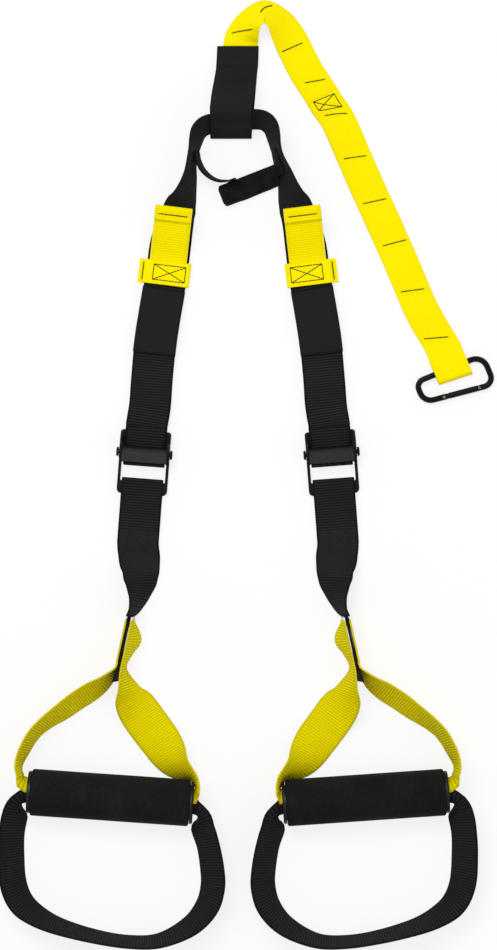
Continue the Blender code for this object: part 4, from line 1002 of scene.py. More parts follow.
@dataclass
class Sewing:
    """Stitches of real thread on one strap."""

    name: str
    strap: Strap
    radius: float = 0.00032
    sides: int = 5
    paths: List[List[Vector]] = field(default_factory=list)

    def bar(self, start: Spot, end: Spot, half_width: float = 0.00030,
            pitch: float = 0.00055) -> None:
        """Add a dense zigzag tack.

        Args:
            start: Where it starts, along and across the strap.
            end: Where it ends.
            half_width: Half the zigzag's width.
            pitch: The distance between its turns.
        """
        first, last = Vector(start), Vector(end)
        run = last - first
        beside = Vector((-run.y, run.x)).normalized() * half_width
        count = max(4, round(run.length / pitch))
        path = []
        for step in range(count + 1):
            here = first + run * step / count + beside * (1 if step % 2 else -1)
            path.append(self.strap.spot(here.x, here.y, self.radius * 0.8))
        self.paths.append(path)

    def run(self, start: Spot, end: Spot, stitch: float = 0.0026, gap: float = 0.0004) -> None:
        """Add a row of running stitches.

        Args:
            start: Where it starts, along and across the strap.
            end: Where it ends.
            stitch: The length of one stitch.
            gap: The distance between stitches.
        """
        first, last = Vector(start), Vector(end)
        count = max(1, round((last - first).length / (stitch + gap)))
        for step in range(count):
            path = []
            for part in (0.08, 0.2, 0.5, 0.8, 0.92):
                here = first.lerp(last, (step + part) / count)
                rise = math.sin(math.pi * part) * 2.2 - 1.2
                path.append(self.strap.spot(here.x, here.y, self.radius * min(rise, 0.7)))
            self.paths.append(path)

    def boxed_cross(self, corners: Sequence[Spot], stitch: float = 0.0026) -> None:
        """Add a sewn box with its cross.

        Args:
            corners: The box's four corners, in order.
            stitch: The length of one stitch.
        """
        for index in range(4):
            self.run(corners[index], corners[(index + 1) % 4], stitch)
        self.run(corners[0], corners[2], stitch)
        self.run(corners[1], corners[3], stitch)

    def build(self, finish: Any, slot: Slot) -> bpy.types.Object:
        """Make every stitch's thread as one piece.

        Args:
            finish: The thread's finish.
            slot: Not used.

        Returns:
            The stitches.
        """
        shape = bmesh.new()
        layer = shape.loops.layers.uv.new("strap")
        for path in self.paths:
            self._tube(shape, layer, path)
        bmesh.ops.recalc_face_normals(shape, faces=shape.faces)
        return finish_mesh(self.name, shape, finish)

    def _tube(self, shape: bmesh.types.BMesh, layer: Any, path: List[Vector]) -> None:
        """Add one thread.

        Args:
            shape: The shape that it is added to.
            layer: The shape's strap coordinates.
            path: The points along it.
        """
        rings, marks = [], [0.0]
        for index, here in enumerate(path):
            run = path[min(index + 1, len(path) - 1)] - path[max(index - 1, 0)]
            if index:
                marks.append(marks[-1] + (here - path[index - 1]).length)
            side = run.cross(Vector((0.0, 0.0, 1.0)))
            side = side.normalized() if side.length > 1e-9 else Vector((1.0, 0.0, 0.0))
            up = side.cross(run).normalized()
            rings.append([])
            for step in range(self.sides):
                turn = 2.0 * math.pi * step / self.sides
                out = side * math.cos(turn) + up * math.sin(turn)
                rings[-1].append(shape.verts.new(here + out * self.radius))
        for line in range(len(rings) - 1):
            for step in range(self.sides):
                beside = (step + 1) % self.sides
                square = shape.faces.new((rings[line][step], rings[line][beside],
                                          rings[line + 1][beside], rings[line + 1][step]))
                places = ((step, line), (step + 1, line), (step + 1, line + 1), (step, line + 1))
                for loop, (spin, mark) in zip(square.loops, places):
                    loop[layer].uv = (spin * self.radius, marks[mark])
                square.smooth = True
        shape.faces.new(rings[0])
        shape.faces.new(rings[-1])


# Layout of an arm


@dataclass(frozen=True)
class Track:
    """Where an arm's straps run in the plan, and the heights of their layers."""

    buckle_offset: float = 0.0839
    buckle_rise: float = 0.0194
    buckle_tilt: float = 4.4
    tilt: float = 7.0
    length: float = 0.210
    bow_reach: float = 0.0025
    keeper_distance: float = 0.162
    keeper_width: float = 0.0235
    keeper_thickness: float = 0.0014
    frame_plate: float = 0.002
    frame_top: float = 0.0205
    tuck: float = 0.006
    overrun: float = 0.002
    top_lean: float = 33.0
    twists: Tuple[Spot, ...] = (
        (0.0, 1.0), (0.006, 0.82), (0.0145, 0.54), (0.024, 0.22), (0.032, 0.04))

    @staticmethod
    def inwards(lean: float) -> float:
        """Return how far a strap's middle moves in when it leans about its inner edge."""
        return WEB_WIDTH / 2 * (1.0 - math.cos(math.radians(lean)))

    def point(self, distance: float, bowed: float = 0.0) -> Spot:
        """Find a place on the track.

        Args:
            distance: The distance above the cam pin.
            bowed: The share of the sideways bow.

        Returns:
            The place, in the arm's plan.
        """
        turn = math.radians(self.tilt)
        x = self.buckle_offset - distance * math.sin(turn)
        return x + bowed * self.bow_reach, self.buckle_rise + distance * math.cos(turn)

    def buckle(self, across: float, along: float) -> Spot:
        """Return a place in the arm's plan from one in the buckle's frame."""
        place = self.buckle_plane() @ Vector((across, along, 0.0))
        return place.x, place.y

    def buckle_plane(self) -> Matrix:
        """Return the buckle's frame in the arm's plan."""
        return plan_frame(self.buckle_offset, self.buckle_rise, self.buckle_tilt)

    def keeper_plane(self) -> Matrix:
        """Return the keeper's frame in the arm's plan."""
        return plan_frame(*self.point(self.keeper_distance), self.tilt)

    def keeper_heights(self) -> Tuple[float, float, float, float]:
        """Stack the layers at the keeper.

        Returns:
            The middle heights of run, tail, tab and keeper's top.
        """
        run = self.keeper_thickness + PLY_GAP + WEB_THICKNESS / 2
        tail = run + WEB_THICKNESS + PLY_GAP
        tab = tail + (WEB_THICKNESS + YELLOW_THICKNESS) / 2 + PLY_GAP
        return run, tail, tab, tab + (YELLOW_THICKNESS + self.keeper_thickness) / 2 + PLY_GAP

    def buckle_heights(self) -> Tuple[float, float, float]:
        """Stack the layers at the buckle.

        Returns:
            The middle heights of run, plate and tail.
        """
        run = PLY_GAP + WEB_THICKNESS / 2
        step = (WEB_THICKNESS + self.frame_plate) / 2 + PLY_GAP
        return run, run + step, run + 2 * step

    def rows(self, start: float, layer: int) -> List[Row]:
        """Return the rows of a strap from a distance above the pin to the buckle's mouth.

        Args:
            start: Where it starts.
            layer: 0 for the main run and 1 for the tail above it.

        Returns:
            The rows.
        """
        keeper_lift = self.keeper_heights()[layer] - WEB_THICKNESS / 2
        end_lift = self.buckle_heights()[2 * layer] - WEB_THICKNESS / 2
        stations = []
        if start > self.keeper_distance + self.keeper_width:
            for back, share in self.twists:
                x, y = self.point(start - back)
                lean = share * self.top_lean
                stations.append((x - self.inwards(lean), y, keeper_lift, lean, 0.0))
            start = self.keeper_distance + self.keeper_width / 2
        span = start - self.frame_top
        for share in (0.0, 0.15, 0.3, 0.5, 0.7, 0.85):
            lift = keeper_lift + (end_lift - keeper_lift) * max(0.0, (share - 0.3) / 0.7)
            bowed = math.sin(math.pi * share) ** 2
            stations.append((*self.point(start - share * span, bowed), lift, 0.0, 0.0))
        for along in (self.frame_top + self.tuck, self.frame_top + self.overrun):
            stations.append((*self.buckle(0.0, along), end_lift, 0.0, 0.0))
        return lying_rows(stations, WEB_WIDTH, WEB_THICKNESS, 0.004)


TRACK = Track()


@dataclass
class Crown:
    """The main strap's turn through the end loop, on edge at its top."""

    rise: float = 0.0909
    lean: float = 55.0
    stand: float = 67.0
    lift: float = 0.0006
    overhang: float = 0.0028
    hanging: Spot = (0.40, 0.70)
    droop: float = 0.0042
    drooping: Spot = (0.55, 0.95)
    slant: float = 4.0
    slanted: Spot = (0.25, 0.70)
    settling: Station = (0.30, 0.73, 0.92)
    side_blend: float = 0.02
    shares: Tuple[Station, ...] = (
        (0.874, 0.149, 41.0), (0.826, 0.218, 52.0), (0.787, 0.297, 61.0),
        (0.755, 0.376, 67.5), (0.727, 0.455, 72.5), (0.699, 0.535, 76.5),
        (0.662, 0.634, 79.0), (0.625, 0.733, 77.0), (0.594, 0.832, 73.0),
        (0.548, 0.922, 70.0), (0.440, 0.982, 68.0), (0.260, 1.000, 67.0))

    def stations(self) -> List[Station]:
        """Lay out the crown.

        Returns:
            Its stations, from its left end to its right end.
        """
        end_x, base_y = TRACK.point(TRACK.length)
        floor = TRACK.keeper_heights()[0] - WEB_THICKNESS / 2
        fold = WEB_THICKNESS + 2 * PLY_GAP + self.lift
        next_x, next_y = TRACK.point(TRACK.length + TRACK.tuck)
        inwards = TRACK.inwards(TRACK.top_lean)
        half: List[Station] = [
            (inwards - end_x, base_y, floor, TRACK.top_lean, 0.0),
            (1.3 * inwards - next_x, next_y, 0.8 * floor, TRACK.top_lean + 4.0, 0.0)]
        for x_share, y_share, lean in self.shares:
            low = max(0.0, 1.0 - y_share / self.settling[0])
            rising = self.settling[2] - self.settling[1]
            high = min(1.0, max(0.0, (y_share - self.settling[1]) / rising))
            lifted = floor * low + fold * high
            half.append((-x_share * end_x, base_y + y_share * self.rise, lifted, lean, 0.0))
        middle = [(0.0, base_y + self.rise, fold, self.stand, 0.0)]
        stations = half + middle + [(-row[0], *row[1:]) for row in reversed(half)]
        hung = []
        for x, y, lifted, lean, curl in stations:
            y_share = (y - base_y) / self.rise
            side = math.copysign(min(1.0, abs(x) / self.side_blend), x)
            grown, gone = self.slanted
            twisted = self.slant * side * min(1.0, y_share / grown) * max(0.0, 1.0 - y_share / gone)
            begun, full = self.drooping
            ramp = min(1.0, max(0.0, (y_share - begun) / (full - begun)))
            down = self.droop * (1.0 - side) / 2 * ramp
            hung.append((x - self.aside(y_share), y - down, lifted, lean - twisted, curl))
        return hung

    def aside(self, y_share: float) -> float:
        """Work out how far the crown hangs over to the left.

        Args:
            y_share: The share of its rise.

        Returns:
            The distance.
        """
        low, high = self.hanging
        ramp = min(1.0, max(0.0, (y_share - low) / (high - low)))
        return self.overhang * ramp * ramp * (3.0 - 2.0 * ramp)

    def top(self) -> Spot:
        """Find the crown's top.

        Returns:
            Its Y at its middle, and the height of its upper edge there.
        """
        stood = WEB_WIDTH * math.sin(math.radians(self.stand))
        edge = WEB_THICKNESS + 2 * PLY_GAP + self.lift + stood
        return TRACK.point(TRACK.length)[1] + self.rise, edge + WEB_THICKNESS

    def half_depth(self) -> float:
        """Return half the room that the leaning strap takes along Y."""
        return WEB_WIDTH / 2 * math.cos(math.radians(self.lean))

    def build(self) -> None:
        """Make the crown."""
        rows = lying_rows(self.stations(), WEB_WIDTH, WEB_THICKNESS, 0.0022)
        strap = Strap("crown_webbing", rows, WEB_WIDTH, WEB_THICKNESS, tucked=0.0014)
        carry(strap.build(CROWN_WEB, Slot.BLACK), "trainer", "main_strap_crown")


CROWN = Crown()


@dataclass
class EndLoop:
    """The black sleeve, sewn at its top and folded round the crown."""

    length: float = 0.082
    drift: float = 0.0063
    clearance: float = 0.0045
    sewn: float = 0.022
    gather: float = 0.8
    seam_inset: float = 0.003

    def fold_y(self) -> float:
        """Return the Y of the sleeve's fold below the crown."""
        return CROWN.top()[0] - CROWN.half_depth() - self.clearance

    def layer_heights(self) -> Spot:
        """Return the middle heights of the anchor strap and of the sleeve's upper ply."""
        strap = WEB_THICKNESS + PLY_GAP + YELLOW_THICKNESS / 2
        return strap, strap + (YELLOW_THICKNESS + WEB_THICKNESS) / 2 + PLY_GAP

    def build(self) -> None:
        """Make the sleeve and its seams."""
        middle_y, crest = CROWN.top()
        crest += WEB_THICKNESS / 2
        half, fold, lower = CROWN.half_depth() * self.gather, self.fold_y(), WEB_THICKNESS / 2
        top, upper = fold + self.length, self.layer_heights()[1]
        sewn = top - self.sewn
        slope = sewn - middle_y - half
        path = [
            (top, upper, 0.0), (top - 0.75 * self.sewn, upper, 0.1), (sewn, upper, 0.2),
            (sewn - 0.3 * slope, 0.3 * crest, 0.5), (sewn - 0.66 * slope, 0.7 * crest, 0.8),
            (sewn - 0.86 * slope, 0.93 * crest, 0.9), (middle_y + half, 1.02 * crest, 1.0),
            (middle_y + 0.4 * half, 0.98 * crest, 1.0), (middle_y - 0.4 * half, 0.76 * crest, 1.0),
            (middle_y - half, 0.42 * crest, 1.0), (fold, 0.16 * crest, 1.0),
            (fold, 0.08 * crest, 1.0), (fold + 2 * lower, lower, 1.0),
            (sewn, lower, 0.2), (top, lower, 0.0)]
        route = smooth_route([(-self.drift * shift, y, z) for y, z, shift in path], 0.002)
        rows = face_rows([Row(place, Vector((1.0, 0.0, 0.0))) for place in route])
        strap = Strap("end_loop_webbing", rows, WEB_WIDTH, WEB_THICKNESS)
        carry(strap.build(SLEEVE_WEB, Slot.BLACK), "trainer", "anchor_end_loop")
        seams = Sewing("end_loop_seams", strap, 0.00022)
        side, start, end = WEB_WIDTH / 2 - self.seam_inset, 0.002, self.sewn - self.seam_inset
        seams.boxed_cross([(start, -side), (start, side), (end, side), (end, -side)])
        carry(seams.build(BLACK_THREAD, Slot.BLACK), "trainer")


END_LOOP = EndLoop()


@dataclass
class CarabinerSeat:
    """Where the carabiner's spine lies, which the anchor strap is folded round."""

    span: float = 0.1917
    drop: float = 0.2896
    wire: float = 0.0055
    tilt: float = 22.2

    def plane(self) -> Matrix:
        """Return the spine's frame.

        Returns:
            The frame: X along the spine, and its gate side at -Y.
        """
        place = Vector((self.span, END_LOOP.fold_y() + END_LOOP.length - self.drop,
                        YELLOW_THICKNESS + PLY_GAP + self.wire / 2))
        return Matrix.Translation(place) @ Matrix.Rotation(math.radians(self.tilt), 4, "Z")

    def dress(self) -> None:
        """Dress the carabiner's CAD nodes."""
        dress_node("carabiner_body", CARABINER_BLACK, 0.0003)
        dress_node("carabiner_gate", CARABINER_BLACK, 0.0002)
        for name in ("gate_hinge_pin", "gate_nose_pin"):
            dress_node(name, CARABINER_BLACK, 0.0001)
        for name in ("gate_plunger", "gate_spring"):
            dress_node(name, BRIGHT_STEEL, 0.0001)


@dataclass
class AnchorStrap:
    """The yellow anchor strap, two plies tacked into pockets, with the sewn box."""

    seat: CarabinerSeat
    join_share: float = 0.153
    turn_reach: float = 0.011
    close_share: float = 2.6
    bulge: float = 0.0015
    skew: float = 4.0
    spread: float = 0.03
    sewn_share: float = 0.02
    shares: Tuple[Station, ...] = (
        (0.008, -0.055, 0.0), (0.012, 0.004, 0.0), (0.015, 0.014, 0.0), (0.023, 0.037, -18.0),
        (0.056, 0.078, -42.0), (0.122, 0.106, -46.0), (0.188, 0.081, -38.0),
        (0.230, 0.040, -18.0), (0.263, -0.003, -4.0), (0.296, -0.047, 0.0),
        (0.329, -0.087, 0.0), (0.376, -0.134, 0.0), (0.418, -0.180, 0.0),
        (0.472, -0.233, 0.0), (0.538, -0.333, 0.0), (0.603, -0.432, 0.0),
        (0.671, -0.531, 0.0), (0.739, -0.631, 0.0), (0.803, -0.730, 0.0), (0.869, -0.830, 0.0))
    upper_tacks: Tuple[Station, ...] = (
        (0.0717, 0.3538, 0.0894, 0.3500), (0.0705, 0.3207, 0.0903, 0.3225),
        (0.0876, 0.2820, 0.1074, 0.2847), (0.1047, 0.2415, 0.1254, 0.2460),
        (0.1227, 0.2037, 0.1434, 0.2091), (0.1389, 0.1623, 0.1596, 0.1650),
        (0.1596, 0.1200, 0.1812, 0.1218))
    lower_tacks: Tuple[Station, ...] = (
        (-0.0132, 0.3954, 0.0057, 0.3972), (0.0129, 0.4116, 0.0219, 0.4188),
        (0.0318, 0.3783, 0.0498, 0.3864), (0.0525, 0.3504, 0.0705, 0.3536))
    box: Tuple[Spot, ...] = ((0.0579, 0.3360), (0.0786, 0.3405), (0.0858, 0.3288), (0.0651, 0.3252))

    def lower_ply(self) -> List[Row]:
        """Lay out the lower ply.

        Returns:
            Its rows, from the sleeve to the carabiner.
        """
        origin_y = END_LOOP.fold_y() + END_LOOP.length
        sewn = END_LOOP.layer_heights()[0] - YELLOW_THICKNESS / 2
        spine = self.seat.plane()
        stations = [(x * self.seat.span, origin_y + y * self.seat.drop,
                     sewn if x < self.sewn_share else 0.0, lean, 0.0) for x, y, lean in self.shares]
        for back in (2.0, 1.0, 0.0):
            place = spine @ Vector((0.0, back * self.turn_reach, 0.0))
            stations.append((place.x, place.y, 0.0, 0.0, 0.0))
        return lying_rows(stations, YELLOW_WIDTH, YELLOW_THICKNESS)

    def rows(self) -> List[Row]:
        """Lay out both plies and their fold round the spine.

        Returns:
            The rows.
        """
        spine = self.seat.plane()
        axis = spine.translation
        ahead = spine.to_3x3() @ Vector((0.0, -1.0, 0.0))
        lower = YELLOW_THICKNESS / 2
        upper = 2 * axis.z - lower
        radius = (upper - lower) / 2
        rows = self.lower_ply()
        join_y = END_LOOP.fold_y() + END_LOOP.length - self.join_share * self.seat.drop
        laid = [Row(row.place.copy(), row.way.copy()) for row in rows
                if row.place.y < join_y and abs(row.way.z) < 1e-6]
        turn_way = spine.to_3x3() @ Vector((1.0, 0.0, 0.0))
        middle = (self.turn_reach - radius - lower, axis.z)
        for along, height in arc(middle, radius, -90.0, 90.0, 14):
            place = Vector((axis.x, axis.y, 0.0)) + ahead * along + Vector((0.0, 0.0, height))
            rows.append(Row(place, turn_way.copy()))
        pinches = sorted((self.middle(tack).y for tack in self.upper_tacks), reverse=True)
        close = self.close_share * self.turn_reach
        rest = lower + YELLOW_THICKNESS + PLY_GAP
        for row in reversed(laid):
            distance = (axis.to_2d() - row.place.to_2d()).length
            height = rest + self.bulge * self.pocket(row.place.y, pinches)
            if distance < close:
                height = rest + (upper - rest) * (1.0 + math.cos(math.pi * distance / close)) / 2
            rows.append(Row(Vector((row.place.x, row.place.y, height)), row.way))
        rows = face_rows(rows)
        for row in rows:
            near = max(0.0, 1.0 - (axis.to_2d() - row.place.to_2d()).length / close)
            near = min(1.0, 2.0 * near)
            share = near ** 2 * (3.0 - 2.0 * near)
            turn = Matrix.Rotation(math.radians(-self.skew * share), 3, "Z")
            row.way = turn @ row.way * (1.0 + self.spread * share)
        return rows

    @staticmethod
    def middle(tack: Station) -> Vector:
        """Return the middle of a tack, in the arm's plan."""
        x = (tack[0] + tack[2]) / 2 - TRAINER_MIDDLE.x
        return Vector((x, (tack[1] + tack[3]) / 2 - TRAINER_MIDDLE.y))

    @staticmethod
    def pocket(y: float, pinches: Sequence[float]) -> float:
        """Work out how far the upper ply stands off between two tacks.

        Args:
            y: Where it is asked for.
            pinches: The Y of each tack, from the top down.

        Returns:
            The share of its full bulge.
        """
        for high, low in zip(pinches, pinches[1:]):
            if low <= y <= high:
                return math.sin(math.pi * (high - y) / (high - low)) ** 2
        return 0.0

    def build(self) -> None:
        """Make the strap and its seams."""
        strap = Strap("anchor_webbing", self.rows(), YELLOW_WIDTH, YELLOW_THICKNESS)
        carry(strap.build(SMOOTH_YELLOW_WEB, Slot.YELLOW), "trainer", "anchor_strap")
        seams = Sewing("anchor_seams", strap, 0.00042)
        halfway = next(mark for row, mark in zip(strap.rows, strap.marks) if row.face.z > 0.5)
        for tacks, first in ((self.upper_tacks[1:], halfway), (self.lower_tacks, 0.0)):
            for x_start, y_start, x_end, y_end in tacks:
                seams.bar(strap.locate(x_start, y_start, first), strap.locate(x_end, y_end, first))
        seams.boxed_cross([strap.locate(x, y, halfway) for x, y in self.box], 0.0022)
        carry(seams.build(BLACK_THREAD, Slot.BLACK), "trainer")


@dataclass
class ClosureBands:
    """The hook and loop bands that hold the crown's legs together."""

    width: float = 0.020
    thickness: float = 0.0015
    loop_shares: Tuple[Station, ...] = (
        (-0.638, 0.715, -77.0, 0.0), (-0.630, 0.668, -77.0, 0.0),
        (-0.620, 0.622, -77.0, 0.0), (-0.597, 0.575, -76.0, 0.0), (-0.550, 0.515, -76.0, 0.0),
        (-0.470, 0.458, -77.0, 0.0), (-0.378, 0.418, -79.0, 0.0), (-0.280, 0.398, -81.0, 0.0),
        (-0.170, 0.398, -84.0, 0.0), (-0.090, 0.408, -88.0, 0.0), (-0.030, 0.419, -90.0, 0.0))
    under_shares: Tuple[Station, ...] = (
        (-0.120, 0.288, 0.0, 0.0), (0.050, 0.318, 0.0, 0.0), (0.262, 0.374, 0.0, 0.0),
        (0.480, 0.429, 0.0, 0.0))
    root_shares: Tuple[Station, ...] = (
        (0.553, 0.710, 77.0, 0.0052), (0.567, 0.655, 78.0, 0.0052),
        (0.583, 0.605, 78.0, 0.0052), (0.604, 0.560, 76.0, 0.0052), (0.634, 0.500, 72.0, 0.0052),
        (0.652, 0.450, 68.0, 0.0052))
    flap_shares: Tuple[Station, ...] = (
        (0.628, 0.466, 0.0, 0.0064), (0.606, 0.461, 0.0, 0.0042), (0.560, 0.449, 0.0, 0.0031),
        (0.430, 0.4165, 0.0, 0.003), (0.200, 0.3585, 0.0, 0.003), (0.050, 0.320, 0.0, 0.003),
        (-0.060, 0.292, 0.0, 0.0034), (-0.150, 0.269, 0.0, 0.0046), (-0.259, 0.241, 0.0, 0.0066))
    hinge_share: int = 4
    bend: Spot = (0.004, 0.003)
    seam_length: float = 0.029
    end_inset: float = 0.0022
    side_inset: float = 0.0016

    def place(self, share: Spot) -> Spot:
        """Return a place in the plan from shares of the crown's half width and rise."""
        half_width, base_y = TRACK.point(TRACK.length)
        return share[0] * half_width, base_y + share[1] * CROWN.rise

    def strap(self, name: str, shares: Sequence[Station], round_end: float = 0.0,
              round_start: float = 0.0) -> Strap:
        """Return one band, from its shares.

        Args:
            name: Its name.
            shares: Its stations as shares, with their leans and the heights of their lower edges.
            round_end: The radius of its last end's corners.
            round_start: The radius of its first end's corners.

        Returns:
            The band.
        """
        stations = [(*self.place((x, y)), lift, lean, 0.0) for x, y, lean, lift in shares]
        rows = lying_rows(stations, self.width, self.thickness, 0.0014)
        return Strap(name, rows, self.width, self.thickness, round_end=round_end,
                     round_start=round_start, columns=6)

    def build(self) -> None:
        """Make the bands and the sewn edge of the flap."""
        loop = self.strap("loop_band", self.loop_shares, 0.004, 0.006)
        carry(loop.build(HOOK_BAND, Slot.HOOK), "trainer", "closure_band_loop")
        under = self.strap("under_band", self.under_shares)
        carry(under.build(HOOK_BAND, Slot.HOOK), "trainer")
        root = self.strap("leg_band", self.root_shares, 0.003, 0.006)
        carry(root.build(HOOK_BAND, Slot.HOOK), "trainer", "closure_band_root")
        hook = self.strap("hook_band", self.flap_shares, 0.0032)
        seams = Sewing("hook_band_seams", hook, 0.00024)
        side = self.width / 2 - self.side_inset
        start, end = hook.length - self.seam_length, hook.length - self.end_inset
        for first, last in (((start, side), (end, side)), ((start, -side), (end, -side)),
                            ((end, -side), (end, side))):
            seams.run(first, last, 0.0022)
        band = hook.build(HOOK_BAND, Slot.HOOK)
        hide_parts("closure_band_flap")
        at, after = self.flap_shares[self.hinge_share], self.flap_shares[self.hinge_share + 1]
        hinge = Vector((*self.place(at[:2]), 0.0)) + TRAINER_MIDDLE
        run = (Vector((*self.place(after[:2]), 0.0)) + TRAINER_MIDDLE - hinge).normalized()
        for piece in (band, seams.build(BLACK_THREAD, Slot.HOOK)):
            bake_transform(piece)


@dataclass
class Adjuster:
    """The sewn tab, keeper, pull tag and cover ply that slide along the main run."""

    side: Side
    tab_length: float = 0.071
    tab_rise: float = 0.0228
    tab_slope: float = 0.40
    tab_width: float = 0.0335
    hem: float = 0.0126
    hem_roll: float = 0.0009
    tab_shares: Tuple[Spot, ...] = ((0.48, 0.47), (0.36, 0.24), (0.262, 0.08), (0.199, 0.0))
    keeper_width: float = 0.0215
    keeper_shift: float = 0.0010
    tag_reach: float = 0.0050
    cover_length: float = 0.059
    cover_width: float = 0.0385
    cover_thickness: float = 0.0012
    cover_inset: float = 0.0022
    hem_seam: Spot = (0.48, 0.0040)
    box_start: float = 0.0092
    box_length: float = 0.0288
    box_side: float = 0.0069

    def named(self, word: str) -> str:
        """Return a word with this arm's ending."""
        return f"{word}_{self.side.label}"

    def build_tab(self) -> None:
        """Make the tab with its rolled hem and hem seam."""
        tab = TRACK.keeper_heights()[2]
        upper = self.tab_length - TRACK.keeper_width / 2
        lift = tab + self.tab_rise
        fold = YELLOW_THICKNESS / 2 + self.hem_roll
        crest = lift + 2 * fold
        rolled = ((1.0, 0.4), (0.9, 0.0), (0.6, 0.5), (0.4, 0.5), (fold / self.hem, 0.0))
        points: List[Station] = [
            (upper - back * self.hem,
             crest - roll * self.hem_roll - back * self.hem * self.tab_slope)
            for back, roll in rolled]
        points += arc((upper - fold, lift + fold), fold, 75.0, -75.0, 6)
        points += [(upper - fold, lift), (upper - self.hem, lift - self.hem * self.tab_slope)]
        points += [(self.tab_length * along, tab + self.tab_rise * rise)
                   for along, rise in self.tab_shares]
        points.append((self.keeper_shift - self.keeper_width / 2 + 0.0012, tab))
        rows = folded_rows(points, TRACK.keeper_plane(), softness=5)
        strap = Strap(self.named("tab_webbing"), rows, self.tab_width, YELLOW_THICKNESS, self.side)
        carry(strap.build(YELLOW_WEB, Slot.YELLOW), self.named("adjuster"),
              self.named("adjuster_tab"))
        seams = Sewing(self.named("tab_seam"), strap, 0.00042)
        place, inset = self.hem_seam
        reach = self.tab_width / 2 - inset
        seams.bar((self.hem * place, -reach), (self.hem * place, reach))
        carry(seams.build(BLACK_THREAD, Slot.BLACK), self.named("adjuster"))

    def build_keeper(self) -> None:
        """Make the keeper loop, which ends in the pull tag, with its sewn box."""
        top, thick = TRACK.keeper_heights()[3], TRACK.keeper_thickness
        inner = WEB_WIDTH / 2 + thick / 2 + 3 * PLY_GAP
        lower = thick / 2
        middle = (top + lower) / 2
        ply = thick / 2 + PLY_GAP / 2
        tag = inner + self.tag_reach
        ring = [(tag, middle + ply), (inner + 3 * ply, middle + ply),
                (inner, 0.8 * top + 0.2 * lower), (inner - ply, 0.97 * top), (inner - 3 * ply, top)]
        corner = 2 * ply
        ring += arc((corner - inner, top - corner), corner, 90.0, 180.0, 5)
        ring += arc((corner - inner, lower + corner), corner, 180.0, 270.0, 5)
        ring += [(inner - 3 * ply, lower), (inner, 1.2 * lower),
                 (inner + ply, 0.2 * top + 0.8 * lower), (inner + 3 * ply, middle - ply),
                 (tag, middle - ply)]
        plane = TRACK.keeper_plane()
        way = plane.to_3x3() @ Vector((0.0, 1.0, 0.0))
        rows = across_rows([plane @ Vector((x, self.keeper_shift, z)) for x, z in ring], way)
        strap = Strap(self.named("keeper_webbing"), rows, self.keeper_width, thick, self.side)
        carry(strap.build(SMOOTH_YELLOW_WEB, Slot.YELLOW), self.named("adjuster"),
              self.named("adjuster_keeper"))
        seams = Sewing(self.named("keeper_seams"), strap, 0.00042)
        start, side = self.tag_reach + self.box_start, self.box_side
        end = start + self.box_length
        seams.boxed_cross([(start, -side), (start, side), (end, side), (end, -side)], 0.0024)
        edge, side = self.tag_reach * 0.9, side + 0.001
        seams.bar((edge, -side), (edge, side), 0.0003)
        carry(seams.build(BLACK_THREAD, Slot.BLACK), self.named("adjuster"))

    def build_cover(self) -> None:
        """Make the smooth ply that covers the tail below the keeper."""
        _, tail, _, _ = TRACK.keeper_heights()
        tail_end = TRACK.buckle_heights()[2]
        cover = tail + (WEB_THICKNESS + self.cover_thickness) / 2 + PLY_GAP
        first = TRACK.keeper_distance - TRACK.keeper_width / 2 - self.cover_thickness
        upper = TRACK.keeper_distance + TRACK.keeper_width / 2
        stations = []
        for step in range(5):
            distance = first - self.cover_length * step / 4
            share = (upper - distance) / (upper - TRACK.frame_top)
            drop = (tail_end - tail) * max(0.0, (share - 0.3) / 0.7)
            lift = cover + max(drop, 0.0) + PLY_GAP - self.cover_thickness / 2
            bowed = math.sin(math.pi * share) ** 2
            stations.append((*TRACK.point(distance, bowed), lift, 0.0, 0.0))
        rows = lying_rows(stations, self.cover_width, self.cover_thickness, 0.003)
        strap = Strap(self.named("cover_ply"), rows, self.cover_width, self.cover_thickness,
                      self.side)
        carry(strap.build(COVER_PLY, Slot.COVER), self.named("adjuster"), self.named("tail_cover"))
        seams = Sewing(self.named("cover_seams"), strap, 0.00024)
        edge = self.cover_width / 2 - self.cover_inset
        far = strap.length - self.cover_inset
        for first_spot, last_spot in (((0.002, edge), (far, edge)), ((0.002, -edge), (far, -edge)),
                                      ((far, -edge), (far, edge))):
            seams.run(first_spot, last_spot, 0.0028)
        carry(seams.build(BLACK_THREAD, Slot.COVER), self.named("adjuster"))

    def build(self) -> None:
        """Make the whole adjuster."""
        self.build_tab()
        self.build_keeper()
        self.build_cover()


